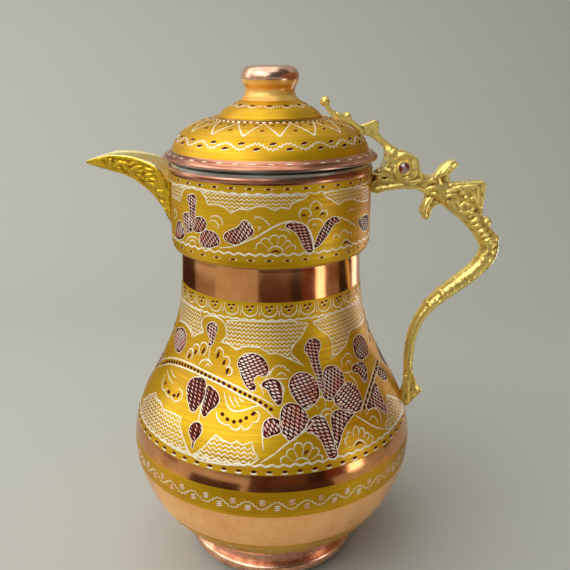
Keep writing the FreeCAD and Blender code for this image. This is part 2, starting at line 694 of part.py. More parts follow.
# Studs and roves that hold the handle: two in the collar, one in the belly
studs, stud_roves = [], []
tail_place = parameter_at(profile, tail_height + tail_stud_rise)
tail_tangent = profile.tangent(tail_place)[0]
tail_axis = FreeCAD.Vector(tail_tangent.z, 0, -tail_tangent.x)
stud_places = [(point(collar_inner, height), outward, collar) for height in stud_heights]
stud_places.append((profile.value(tail_place) - tail_axis * sheet, tail_axis, upper_body))
for wall, axis, shell in stud_places:
    seat = wall - axis * rove_thickness
    shank = Part.makeCylinder(stud_radius, rove_thickness + sheet + stud_bite, seat, axis)
    stud_head = Part.makeCylinder(stud_head_radius, stud_head_height, seat, axis * -1)
    rove = Part.makeCylinder(rove_radius, rove_thickness + sheet / 2, seat, axis)
    pieces = rove.cut(shank).cut(shell).Solids
    stud_roves.append(min(pieces, key=lambda solid: solid.CenterOfMass.x))
    studs.append(shank.fuse(stud_head).removeSplitter())
for stud in studs[:2]:
    collar = collar.cut(stud)
upper_body = upper_body.cut(studs[2])
for stud in studs:
    handle = handle.cut(stud)
save(collar, "collar")
save(upper_body, "upper_body")
save(handle, "handle")
save(Part.makeCompound(studs), "handle_studs")
save(Part.makeCompound(stud_roves), "handle_roves")

# Hinge pin, peened over the ears
pin = Part.makeCylinder(pin_radius, 2 * ear_outer, point(pin_reach, pin_height, -ear_outer), across)
for side in (-1, 1):
    pin = pin.fuse(Part.makeCylinder(
        pin_head_radius, pin_head_height, point(pin_reach, pin_height, side * ear_outer), across * side))
save(pin.removeSplitter(), "hinge_pin")
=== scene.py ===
import bisect
import bmesh
import bpy
import math
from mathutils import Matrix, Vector
from mathutils.bvhtree import BVHTree


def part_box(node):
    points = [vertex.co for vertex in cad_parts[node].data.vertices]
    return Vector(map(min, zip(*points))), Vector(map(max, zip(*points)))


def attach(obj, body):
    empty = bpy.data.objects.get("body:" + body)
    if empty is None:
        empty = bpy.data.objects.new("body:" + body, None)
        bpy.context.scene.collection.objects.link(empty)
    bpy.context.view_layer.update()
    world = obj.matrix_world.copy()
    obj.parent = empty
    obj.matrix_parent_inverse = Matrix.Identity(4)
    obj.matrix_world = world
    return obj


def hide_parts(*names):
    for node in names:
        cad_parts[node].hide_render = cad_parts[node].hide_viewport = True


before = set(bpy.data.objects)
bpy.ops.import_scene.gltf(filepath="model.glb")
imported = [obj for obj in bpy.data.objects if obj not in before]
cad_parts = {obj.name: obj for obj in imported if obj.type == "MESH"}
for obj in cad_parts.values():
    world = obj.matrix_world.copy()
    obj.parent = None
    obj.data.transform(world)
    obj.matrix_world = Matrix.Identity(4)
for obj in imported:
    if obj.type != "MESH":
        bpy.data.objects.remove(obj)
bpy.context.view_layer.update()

# Foot ring: a turned copper ring that the jug stands on, with a bead at the table and a groove above it.
# It is soldered under the flat bottom of the bowl, and the table has worn it to a satin.
MM = 0.001


def linear(code):
    """An sRGB hex colour as linear red, green, blue and alpha."""
    shares = [int(code[place:place + 2], 16) / 255 for place in (1, 3, 5)]
    lit = [share / 12.92 if share <= 0.04045 else ((share + 0.055) / 1.055) ** 2.4 for share in shares]
    return lit + [1.0]


def add_node(tree, kind, inputs, **settings):
    """Adds a node: settings are its own properties, inputs are values or the sockets that feed it."""
    node = tree.nodes.new(kind)
    for name, value in settings.items():
        setattr(node, name, value)
    for name, value in inputs.items():
        if isinstance(value, bpy.types.NodeSocket):
            tree.links.new(value, node.inputs[name])
        else:
            node.inputs[name].default_value = value
    return node


def new_finish(name, values):
    """A new material with values on its shader's sockets, then its node tree and its shader."""
    material = bpy.data.materials.new(name)
    material.use_nodes = True
    shader = material.node_tree.nodes["Principled BSDF"]
    for socket, value in values.items():
        shader.inputs[socket].default_value = value
    return material, material.node_tree, shader


def mottled(name, patches, tones, values, gloss=(), grain=(), shades=(), relief=(), gloss_from="patches"):
    """A finish in two tones: patches, and grain if given, are a noise's x, y and z scales and its detail.

    Gloss and shades turn a range of noise to roughness or brightness; relief is a strength and a depth.
    """
    ranges = ("From Min", "From Max", "To Min", "To Max")
    material, tree, shader = new_finish(name, values)
    place = add_node(tree, "ShaderNodeTexCoord", {})
    noises = {}
    kinds = {"patches": patches, "grain": grain} if grain else {"patches": patches}
    for kind, (*scales, detail) in kinds.items():
        spread = add_node(tree, "ShaderNodeMapping", {"Vector": place.outputs["Object"], "Scale": scales})
        noise = add_node(tree, "ShaderNodeTexNoise", {"Vector": spread.outputs["Vector"], "Scale": 1.0,
                                                      "Detail": detail})
        noises[kind] = noise.outputs["Fac"]
    noises.setdefault("grain", noises["patches"])
    tone = add_node(tree, "ShaderNodeValToRGB", {"Fac": noises["patches"]})
    for stop, position, colour in zip(tone.color_ramp.elements, tones[::2], tones[1::2]):
        stop.position = position
        stop.color = linear(colour)
    base = tone.outputs["Color"]
    if shades:
        shine = add_node(tree, "ShaderNodeMapRange", {"Value": noises["grain"], **dict(zip(ranges, shades))})
        shade = add_node(tree, "ShaderNodeVectorMath", {0: base, "Scale": shine.outputs["Result"]},
                         operation="SCALE")
        base = shade.outputs["Vector"]
    tree.links.new(base, shader.inputs["Base Color"])
    if gloss:
        rough = add_node(tree, "ShaderNodeMapRange",
                         {"Value": noises[gloss_from], **dict(zip(ranges, gloss))})
        tree.links.new(rough.outputs["Result"], shader.inputs["Roughness"])
    if relief:
        bump = add_node(tree, "ShaderNodeBump", {"Height": noises["grain"], "Strength": relief[0],
                                                 "Distance": relief[1]})
        tree.links.new(bump.outputs["Normal"], shader.inputs["Normal"])
    return material


def add_spline(curve, points, closed=False):
    """Adds a smooth spline through points to a curve, and returns its knots."""
    spline = curve.splines.new("BEZIER")
    spline.bezier_points.add(len(points) - 1)
    spline.use_cyclic_u = closed
    for knot, point in zip(spline.bezier_points, points):
        knot.co = point
        knot.handle_left_type = "AUTO"
        knot.handle_right_type = "AUTO"
    return spline.bezier_points


def curve_mesh(curve):
    """A curve's mesh, which takes the curve's place."""
    holder = bpy.data.objects.new("holder", curve)
    mesh = bpy.data.meshes.new_from_object(holder)
    bpy.data.objects.remove(holder)
    bpy.data.curves.remove(curve)
    return mesh


def smooth_line(points, steps):
    """Points in millimetres along one smooth line through a few (radius, height) points."""
    curve = bpy.data.curves.new("line", "CURVE")
    curve.dimensions = "3D"
    curve.resolution_u = steps
    add_spline(curve, [(radius, 0, height) for radius, height in points])
    mesh = curve_mesh(curve)
    line = [(vertex.co.x, vertex.co.z) for vertex in mesh.vertices]
    bpy.data.meshes.remove(mesh)
    return line


def show(name, bm, finishes, body, nodes, sharp=30):
    """Makes a shown piece from a bmesh, riding on a body and standing for CAD nodes."""
    mesh = bpy.data.meshes.new(name)
    for face in bm.faces:
        face.smooth = True
    bm.to_mesh(mesh)
    bm.free()
    mesh.set_sharp_from_angle(angle=math.radians(sharp))
    for finish in finishes:
        mesh.materials.append(finish)
    piece = bpy.data.objects.new(name, mesh)
    bpy.context.scene.collection.objects.link(piece)
    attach(piece, body)
    if nodes:
        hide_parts(*nodes)
    return piece


def spun(outline, finish_of, turns=192):
    """A closed outline of (radius, height) points spun about the axis; finish_of picks faces' finishes."""
    bm = bmesh.new()
    corners = [bm.verts.new((radius * MM, 0, height * MM)) for radius, height in outline]
    edges = [bm.edges.new((corners[place - 1], corners[place])) for place in range(len(corners))]
    bmesh.ops.spin(bm, geom=corners + edges, cent=(0, 0, 0), axis=(0, 0, 1),
                   angle=math.tau, steps=turns, use_merge=True)
    bmesh.ops.remove_doubles(bm, verts=bm.verts, dist=1e-7)
    bmesh.ops.recalc_face_normals(bm, faces=bm.faces)
    for face in bm.faces:
        middle = face.calc_center_median()
        radius = math.hypot(middle.x, middle.y)
        outwards = (face.normal.x * middle.x + face.normal.y * middle.y) / max(radius, 1e-6)
        face.material_index = finish_of(radius / MM, middle.z / MM, outwards, face.normal.z)
    return bm


# Satin copper: the foot and the knob's top, worn soft, pale and pink, with rub marks about 4 mm across.
satin = mottled("satin_copper", (250, 250, 250, 4.0), (0.3, "#CC9478", 0.7, "#FFD2B6"), {"Metallic": 1.0},
                gloss=(0.3, 0.7, 0.32, 0.22))
bottom = 13.5
foot_hole = 39.0
bead = smooth_line([(42.6, 0.0), (44.0, 1.0), (44.5, 3.0), (44.0, 5.0), (42.5, 6.1)], 8)
flare = smooth_line([(42.5, 6.1), (43.0, 7.6), (44.1, 10.4), (45.5, bottom)], 8)
foot = spun([(foot_hole, 0.0)] + bead + flare[1:] + [(foot_hole, bottom)], lambda *place: 0)
show("foot_ring_turned", foot, [satin], "pot", ["foot_ring"])

# Lower bowl: spun copper with a flat bottom, lacquered in gold bands between bare ones, tinned inside.
# Its edge laps inside the shoulder and is soldered there, under the gold band.
neck_top = 160.3
body_line = smooth_line([(45.5, bottom), (56.7, 24.0), (68.0, 43.0), (71.69, 65.0), (68.1, 81.0),
                         (55.5, 106.0), (49.4, 120.0), (45.2, 137.4), (43.6, neck_top)], 40)


def unrolled(line, by_length=False):
    """A function from a place on a wall, by height or by length, to radius, height and outward slope."""
    lengths = [0.0]
    for low, high in zip(line, line[1:]):
        lengths.append(lengths[-1] + math.dist(low, high))
    places = lengths if by_length else [point[1] for point in line]

    def at(place):
        step = min(max(bisect.bisect_left(places, place), 1), len(line) - 1)
        low, high = line[step - 1], line[step]
        share = (place - places[step - 1]) / (places[step] - places[step - 1])
        length = math.dist(low, high)
        return (low[0] + share * (high[0] - low[0]), low[1] + share * (high[1] - low[1]),
                (high[1] - low[1]) / length, (low[0] - high[0]) / length)

    return at


def between(at, low, high, step, edges=()):
    """A wall's points from one height to another, with a point at each band's edge."""
    count = max(1, round((high - low) / step))
    heights = {round(low + (high - low) * place / count, 4) for place in range(count + 1)}
    heights |= {edge for edge in edges if low < edge < high}
    return [(at(height)[0], height) for height in sorted(heights)]


# Gold lacquer: clear yellow over turned copper, so a warm metal with a soft gloss.
# Its patches are about 25 mm across, and its turning rings 0.7 mm apart, drawn that coarse to show.
lacquer = mottled("gold_lacquered_copper", (40, 40, 40, 3.0), (0.3, "#D49E08", 0.7, "#EEBE12"),
                  {"Metallic": 0.72, "Specular IOR Level": 0.3, "Specular Tint": linear("#C89410"),
                   "Coat Weight": 0.4, "Coat Roughness": 0.34},
                  gloss=(0.3, 0.7, 0.5, 0.38), grain=(18, 18, 1400, 3.0), shades=(0.3, 0.7, 0.78, 1.08),
                  relief=(0.2, 0.0003), gloss_from="grain")
# Tin: a grey-white coat wiped on hot, with streaks about 3 mm wide that run round the wall.
tin = mottled("wiped_tin", (40, 40, 330, 4.0), (0.3, "#9E9A92", 0.7, "#D6D3CB"), {"Metallic": 1.0},
              gloss=(0.0, 1.0, 0.2, 0.45))
# Scoured copper: rubbed with sand, so pale and dull, in clouds about 10 mm across with pits of 0.5 mm.
scoured = mottled("scoured_copper", (100, 100, 100, 4.0), (0.3, "#F6B78A", 0.7, "#FFCDA2"),
                  {"Metallic": 1.0}, gloss=(0.3, 0.7, 0.24, 0.34), grain=(1500, 1500, 1500, 2.0),
                  shades=(0.28, 0.42, 0.72, 1.0), relief=(0.12, 0.0002))
body_at = unrolled(body_line)
wall = 1.2
seam_height = 62.0
lap_rise = 6.0
lap_drop = 3.0
low_gold, low_bare, high_gold = bowl_bands = (24.0, 34.0, 55.0)


def bowl_finish(radius, height, outwards, upwards):
    if height > bottom + 0.1 and radius < body_at(height)[0] - wall / 2:
        return 2
    return 1 if low_gold < height < low_bare or height > high_gold else 0


seam_radius = body_at(seam_height)[0]
bowl_outline = [(0.0, bottom)] + between(body_at, bottom, seam_height, 1.2, bowl_bands) + [
    (seam_radius - wall, seam_height), (seam_radius - wall, seam_height + lap_rise),
    (seam_radius - 2 * wall, seam_height + lap_rise), (seam_radius - 2 * wall, seam_height - lap_drop)]
bowl_inside = [(radius - wall, height)
               for radius, height in between(body_at, 16.0, seam_height - lap_drop, 2.4)]
bowl_outline += bowl_inside[::-1] + [(42.5, bottom + wall), (0.0, bottom + wall)]
show("lower_bowl_spun", spun(bowl_outline, bowl_finish), [scoured, lacquer, tin], "pot",
     ["lower_bowl"])

# Upper body: shoulder and neck spun in one from copper sheet, lacquered gold where it is engraved.
# A bare band shows above the seam and the bare neck, buffed to a mirror, shows below the collar.
# Polished copper: warm pink, with tarnish in clouds about 12 mm across and turning rings 0.6 mm apart.
copper = mottled("polished_copper", (85, 85, 85, 5.0), (0.35, "#D08853", 0.7, "#EBA870"), {"Metallic": 1.0},
                 gloss=(0.3, 0.75, 0.1, 0.2), grain=(25, 25, 1600, 2.0), relief=(0.06, 0.0002))
bare_low, bare_high, bare_neck = body_bands = (68.2, 75.7, 147.0)


def body_finish(radius, height, outwards, upwards):
    if outwards < 0 or height > neck_top - 0.1:
        return 2
    return 0 if bare_low < height < bare_high or height > bare_neck else 1


body_inside = [(radius - wall, height) for radius, height in between(body_at, seam_height, neck_top, 2.4)]
upper = spun(between(body_at, seam_height, neck_top, 1.2, body_bands) + body_inside[::-1], body_finish)
show("upper_body_spun", upper, [copper, lacquer, tin], "pot", ["upper_body"])

# Engraving of the body: folk flowers, leaves and clouds cut through the lacquer by hand with a burin.
# Bright cuts are coloured near white, which is partly painted sheen of the cut facets, and hatching shows
# dark oxidised copper; the front repeats at the back.
# Its points were read in enlarged views of the photo, and lines of sight carry them onto the jug.
photo_width = 570.0
photo_focus = 700.0
camera_place = Vector((6.88, -334.6, 251.3))
camera_tilt = math.radians(18.29)
nearest_depth = 200
farthest_depth = 420
# A view is the photo's pixel at its corner, across and down, and its enlargement
left_view = (130, 300, 8.0)
right_view = (260, 300, 8.0)


def sight(view, point):
    """The line of sight through a point of an enlarged view, for each millimetre of depth."""
    left, top, enlarged = view
    across = (left + point[0] / enlarged - photo_width / 2) / photo_focus
    rise = (photo_width / 2 - top - point[1] / enlarged) / photo_focus
    return Vector((across, math.cos(camera_tilt) + rise * math.sin(camera_tilt),
                   rise * math.cos(camera_tilt) - math.sin(camera_tilt)))


def wall_spot(line, at):
    """Where a line of sight meets the wall of a turned piece, or passes nearest to it."""
    spots = [camera_place + line * depth for depth in range(nearest_depth, farthest_depth)]
    gaps = [math.hypot(spot.x, spot.y) - at(spot.z)[0] for spot in spots]
    for step in range(1, len(spots)):
        if gaps[step] <= 0:
            return spots[step - 1].lerp(spots[step], gaps[step - 1] / (gaps[step - 1] - gaps[step]))
    return spots[gaps.index(min(gaps))]


def traced(view, strokes, at):
    """Strokes on an enlarged view, as degrees round the jug and heights on its wall."""
    result = []
    for points in strokes:
        spots = [wall_spot(sight(view, point), at) for point in points]
        result.append([(math.degrees(math.atan2(spot.x, -spot.y)), spot.z) for spot in spots])
    return result


def on_body(left, right):
    """Strokes on the body's two enlarged views."""
    return traced(left_view, left, body_at) + traced(right_view, right, body_at)


def wrapped(drawings, at, scale, lift, flat):
    """Flat drawings made one mesh and wrapped onto a wall: x is degrees times scale, y a place on it."""
    bm = bmesh.new()
    for drawing in drawings:
        mesh = curve_mesh(drawing)
        bm.from_mesh(mesh)
        bpy.data.meshes.remove(mesh)
    for reach in (6.0, 3.0, 1.5):
        long_edges = [edge for edge in bm.edges if edge.calc_length() > reach]
        bmesh.ops.subdivide_edges(bm, edges=long_edges, cuts=1, use_grid_fill=True)
    for vertex in bm.verts:
        turn = math.radians(vertex.co.x / scale)
        radius, height, out, climb = at(vertex.co.y)
        proud = lift + flat * vertex.co.z
        radius += out * proud
        vertex.co = Vector((radius * math.sin(turn), -radius * math.cos(turn), height + climb * proud)) * MM
    bmesh.ops.recalc_face_normals(bm, faces=bm.faces)
    return bm


def cut_lines(strokes, scale, turns):
    """A flat drawing of strokes: each is its points in degrees and millimetres, a half width and a kind."""
    drawing = bpy.data.curves.new("strokes", "CURVE")
    drawing.dimensions = "3D"
    drawing.bevel_depth = 1.0
    drawing.bevel_resolution = 0
    drawing.resolution_u = 5
    for turn in turns:
        for points, half_width, kind in strokes:
            spots = [((along + turn) * scale, place, 0) for along, place in points]
            if kind in ("sweep", "loop", "ring"):
                knots = add_spline(drawing, spots, kind == "loop")
            else:
                spline = drawing.splines.new("POLY")
                spline.points.add(len(spots) - 1)
                knots = spline.points
                for knot, spot in zip(knots, spots):
                    knot.co = (*spot, 1)
            for step, knot in enumerate(knots):
                share = step / max(1, len(spots) - 1)
                even = kind in ("loop", "ring", "zigzag")
                knot.radius = half_width * (1.0 if even else 0.4 + 0.6 * math.sin(math.pi * share) ** 0.7)
    return [drawing]


def cut_fields(outlines, scale, turns):
    """Flat drawings of filled outlines, one for each, so that where two cross both stay filled."""
    drawings = []
    for turn in turns:
        for outline in outlines:
            drawing = bpy.data.curves.new("field", "CURVE")
            drawing.dimensions = "2D"
            drawing.fill_mode = "BOTH"
            drawing.resolution_u = 3
            add_spline(drawing, [((along + turn) * scale, place, 0) for along, place in outline], True)
            drawings.append(drawing)
    return drawings


def engrave(name, finish, strokes, wall_side, turns, depth, body="pot",
            draw=cut_lines):
    """Shows strokes on a wall, given by its function and scale; a depth is a lift and a flatness."""
    at, scale = wall_side
    show(name, wrapped(draw(strokes, scale, turns), at, scale, *depth), [finish], body, [], 60)


def holds(outline, along, place):
    """Whether an outline holds a point."""
    found = False
    for step in range(len(outline)):
        (x1, y1), (x2, y2) = outline[step - 1], outline[step]
        if (y1 > place) != (y2 > place) and along < x1 + (place - y1) * (x2 - x1) / (y2 - y1):
            found = not found
    return found


def hatched(outline, scale, row, pitch, dash_length, half_width, slant):
    """Slanted dashes in rows along an outline's longer way, as strokes."""
    flat = [(along * scale, place) for along, place in outline]
    middle = [sum(values) / len(flat) for values in zip(*flat)]
    xx = sum((x - middle[0]) ** 2 for x, y in flat)
    yy = sum((y - middle[1]) ** 2 for x, y in flat)
    xy = sum((x - middle[0]) * (y - middle[1]) for x, y in flat)
    lean = 0.5 * math.atan2(2 * xy, xx - yy) % math.pi
    lean = math.pi / 2 + 0.5 * (lean - math.pi / 2)
    along, square = (math.cos(lean), math.sin(lean)), (-math.sin(lean), math.cos(lean))
    reach = max(math.dist(middle, point) for point in flat)
    strokes = []
    for level in range(-int(reach / row), int(reach / row) + 1):
        for step in range(-int(reach / pitch) - 1, int(reach / pitch) + 1):
            start = (step + 0.37 * level % 1) * pitch
            ends = []
            for share in (0.0, 0.5, 1.0):
                shift = start + dash_length * share * math.cos(slant)
                rise = level * row + dash_length * (share - 0.5) * math.sin(slant)
                ends.append((middle[0] + along[0] * shift + square[0] * rise,
                             middle[1] + along[1] * shift + square[1] * rise))
            kept = [(x / scale, y) for x, y in ends if holds(flat, x, y)]
            if len(kept) > 1:
                strokes.append((kept, half_width, "dash"))
    return strokes


def zigzag_rows(outline, scale, row, tooth, rise, half_width):
    """Level zigzag lines that fill an outline, as strokes."""
    flat = [(along * scale, place) for along, place in outline]
    left, right = min(x for x, y in flat), max(x for x, y in flat)
    low, high = min(y for x, y in flat), max(y for x, y in flat)
    runs = []
    for level in range(1, int((high - low) / row) + 1):
        height = high - level * row
        runs.append([])
        for step in range(int((right - left) / (tooth / 2)) + 2):
            x = left + step * tooth / 2
            if holds(flat, x, height):
                runs[-1].append((x / scale, height + rise * (1 if step % 2 else -1)))
            elif runs[-1]:
                runs.append([])
    return [(run, half_width, "zigzag") for run in runs if len(run) > 2]


def toothed(points, scale, tooth, rise):
    """A line with small teeth that follows a few points."""
    result = []
    for (x1, y1), (x2, y2) in zip(points, points[1:]):
        count = max(1, round(math.dist((x1 * scale, y1), (x2 * scale, y2)) / (tooth / 2)))
        for step in range(count):
            side = rise * (1 if len(result) % 2 else -1)
            result.append((x1 + (x2 - x1) * step / count, y1 + (y2 - y1) * step / count + side))
    return result + [points[-1]]


def round_wave(height, pitches, rise, half_width, per_pitch=4):
    """A wavy line all round, that starts and ends at the back, as a stroke."""
    count = pitches * per_pitch
    points = [(360 * step / count - 180, height + rise * math.sin(math.tau * step / per_pitch))
              for step in range(count + 1)]
    return points, half_width, "ring"


def dash(along, place, half_length, half_width, tilt=0.0):
    """A short dash about its middle, as a stroke."""
    return [(along + side * half_length, place + side * tilt) for side in (-1, 0, 1)], half_width, "dash"


def all_round(count, marks):
    """Strokes repeated evenly round the jug."""
    return [([(along + 360 * step / count, place) for along, place in points], half_width, kind)
            for step in range(count) for points, half_width, kind in marks]


def swollen(outline, share):
    """An outline made larger about its middle."""
    middle = [sum(values) / len(outline) for values in zip(*outline)]
    return [(middle[0] + (along - middle[0]) * share, middle[1] + (place - middle[1]) * share)
            for along, place in outline]


# Bright cut: copper freshly cut by a burin, pale, and painted almost white for the sheen of its facets,
# which are about 1.5 mm long.
cut_copper_and_sheen = mottled("bright_cut_copper_and_painted_sheen", (650, 650, 650, 2.0), (0.35, "#F6E0B8", 0.6, "#FFF8E4"),
                 {"Metallic": 0.45, "Roughness": 0.35})
# Rose cut: shallow bright dashes in the hatching, pink where the copper shows and painted pale for the sheen
# of the cuts, in petals about 8 mm across.
rose_cut_and_sheen = mottled("rose_cut_copper_and_painted_sheen", (120, 120, 120, 2.0), (0.4, "#F2B8A0", 0.6, "#FFEEE4"),
               {"Metallic": 0.45, "Roughness": 0.4})
# Oxidised copper: the dark maroon ground between the cuts, dull, in spots about 2 mm across.
maroon = mottled("oxidised_copper", (500, 500, 500, 3.0), (0.35, "#3A0A04", 0.7, "#702212"),
                 {"Specular IOR Level": 0.1, "Roughness": 0.5})
line_depth = (0.03, 0.25)
field_depth = (0.05, 0.0)
hatch_depth = (0.06, 0.4)
seed_depth = (0.05, 0.3)
both_sides = (0.0, 180.0)
once = (0.0,)
body_scale = 1.0
body_wall = (body_at, body_scale)
# The three upper clouds reach up to the wavy line under the neck
cloud_tops = ([(-79.0, 137.4), (-60.7, 138.3), (-45.4, 138.2)],
              [(-25.2, 137.2), (-16.9, 138.2), (-8.2, 138.3), (3.1, 138.3), (12.6, 138.2), (22.4, 136.6)],
              [(25.2, 136.8), (36.8, 138.2), (50.8, 138.3), (76.6, 137.4)])
upper_clouds = on_body([
    [(572, 190), (590, 262), (545, 270), (512, 292), (490, 236), (440, 182), (398, 158)],
    [(1370, 290), (1320, 350), (1286, 400), (1290, 432), (1330, 470), (1392, 526), (1340, 500), (1280, 472),
     (1230, 450), (1170, 424), (1122, 432), (1040, 382), (960, 372), (900, 376), (852, 402), (790, 352),
     (726, 336), (770, 290)],
], [
    [(834, 150), (800, 200), (735, 232), (716, 256), (702, 300), (690, 352), (632, 420), (566, 476),
     (580, 400), (576, 330), (546, 280), (500, 252)],
])
lower_clouds = on_body([
    [(110, 800), (160, 760), (206, 740), (216, 790), (250, 820), (264, 872), (332, 902), (408, 938),
     (396, 1000), (420, 1090), (455, 1180), (490, 1248), (400, 1212), (300, 1152), (200, 1072), (120, 982),
     (88, 892)],
    [(494, 1246), (592, 1180), (642, 1120), (686, 1080), (740, 1122), (812, 1152), (852, 1130), (900, 1162),
     (976, 1136), (986, 1200), (1030, 1272), (970, 1316), (800, 1322), (660, 1304), (560, 1286)],
], [
    [(1012, 760), (1080, 780), (1146, 826), (1150, 880), (1100, 960), (1020, 1040), (1002, 1000),
     (1022, 930), (1016, 850)],
])
body_clouds = [top + cloud for top, cloud in zip(cloud_tops, upper_clouds)] + lower_clouds
petal_growth = 1.1
drawn_petals = on_body([
    [(630, 352), (640, 310), (622, 260), (620, 212), (650, 186), (686, 196), (697, 232), (682, 280),
     (668, 330), (652, 356)],
    [(360, 330), (366, 262), (400, 230), (436, 250), (446, 310), (426, 380), (396, 412), (370, 392)],
    [(885, 562), (870, 512), (900, 462), (960, 440), (1040, 460), (1090, 522), (1096, 572), (1062, 610),
     (1022, 600), (990, 640), (1006, 690), (982, 716), (940, 690), (910, 640), (895, 602)],
], [
    [(376, 362), (402, 326), (470, 340), (482, 380), (466, 430), (470, 490), (490, 560), (502, 640),
     (502, 720), (472, 680), (450, 600), (420, 530), (390, 450), (362, 410)],
    [(250, 722), (245, 662), (280, 610), (340, 590), (400, 610), (440, 650), (462, 710), (460, 780),
     (420, 830), (370, 860), (320, 830), (280, 780)],
    [(510, 602), (520, 562), (560, 536), (612, 546), (652, 590), (666, 650), (640, 700), (602, 750),
     (570, 790), (520, 770), (502, 700)],
    [(672, 690), (702, 666), (742, 680), (782, 730), (806, 800), (800, 860), (750, 890), (700, 890),
     (650, 860), (602, 802), (620, 750)],
    [(170, 960), (180, 882), (220, 842), (280, 840), (330, 870), (370, 930), (370, 990), (320, 1052),
     (250, 1112), (202, 1080), (170, 1020)],
    [(20, 682), (60, 646), (140, 650), (172, 760), (152, 832), (110, 800), (60, 722)],
    [(30, 1002), (60, 960), (110, 950), (160, 980), (162, 1050), (100, 1080), (40, 1092)],
    [(376, 1042), (402, 982), (450, 942), (502, 942), (540, 1002), (570, 1082), (600, 1162), (602, 1242),
     (560, 1252), (530, 1212), (500, 1142), (450, 1082)],
    [(580, 922), (622, 890), (682, 890), (742, 910), (722, 950), (692, 990), (662, 1052), (640, 1132),
     (612, 1182), (600, 1122), (582, 1022)],
    [(860, 852), (884, 770), (908, 690), (924, 672), (950, 722), (980, 802), (1002, 892), (940, 850)],
    [(752, 342), (770, 300), (810, 290), (840, 330), (862, 400), (842, 450), (800, 466), (766, 430)],
    [(742, 562), (780, 512), (830, 510), (852, 570), (840, 652), (820, 640), (792, 590)],
    [(930, 570), (955, 540), (985, 560), (1010, 610), (1000, 640), (960, 615)],
])
body_petals = [swollen(petal, petal_growth) for petal in drawn_petals]
body_leaves = on_body([
    [(490, 892), (470, 840), (455, 750), (460, 680), (490, 632), (540, 616), (602, 640), (606, 720),
     (586, 800), (552, 852), (520, 892)],
    [(575, 914), (570, 850), (600, 760), (625, 684), (662, 702), (700, 740), (716, 800), (690, 852),
     (640, 892), (592, 936)],
], [])
body_buds = on_body([
    [(500, 1192), (495, 1130), (470, 1062), (480, 1012), (520, 976), (566, 990), (576, 1040), (556, 1090),
     (522, 1130), (506, 1172)],
], [])
body_sweeps = on_body([
    [(590, 262), (572, 200), (590, 142), (640, 126), (700, 140), (750, 180), (770, 240), (765, 300),
     (726, 336)],
    [(392, 165), (440, 190), (480, 240), (500, 300)],
    [(642, 362), (636, 420), (630, 472)],
    [(550, 524), (568, 492), (600, 480), (640, 490), (662, 524)],
    [(592, 790), (565, 880), (546, 970)],
    [(755, 742), (766, 800), (790, 862), (840, 890), (920, 880), (1000, 852), (1062, 836)],
    [(1020, 655), (1050, 700), (1072, 760)],
    [(1082, 640), (1110, 590), (1150, 550)],
], [
    [(30, 1002), (20, 1100), (28, 1202)],
    [(480, 932), (500, 890), (540, 870), (578, 886)],
    [(70, 628), (150, 632), (222, 628)],
    [(160, 650), (190, 700), (185, 772)],
    [(272, 1306), (306, 1272), (360, 1266), (404, 1296)],
    [(744, 1176), (770, 1132), (812, 1120), (852, 1152)],
    [(760, 920), (842, 970), (940, 1022), (1012, 1032)],
    [(664, 580), (700, 580), (742, 562)],
])
body_stems = on_body([
    [(230, 498), (300, 464), (380, 470), (460, 500), (560, 550), (700, 620), (850, 690), (970, 750),
     (1060, 790), (1160, 850)],
    [(230, 534), (310, 512), (400, 532), (500, 572), (620, 628), (760, 694), (880, 762), (990, 814),
     (1080, 872), (1165, 950)],
], [
    [(0, 1304), (100, 1244), (200, 1164), (280, 1104), (350, 1052), (402, 1002), (440, 950)],
    [(806, 912), (836, 800), (866, 700), (900, 590), (930, 450)],
    [(838, 900), (868, 790), (898, 690), (930, 590), (956, 470)],
])
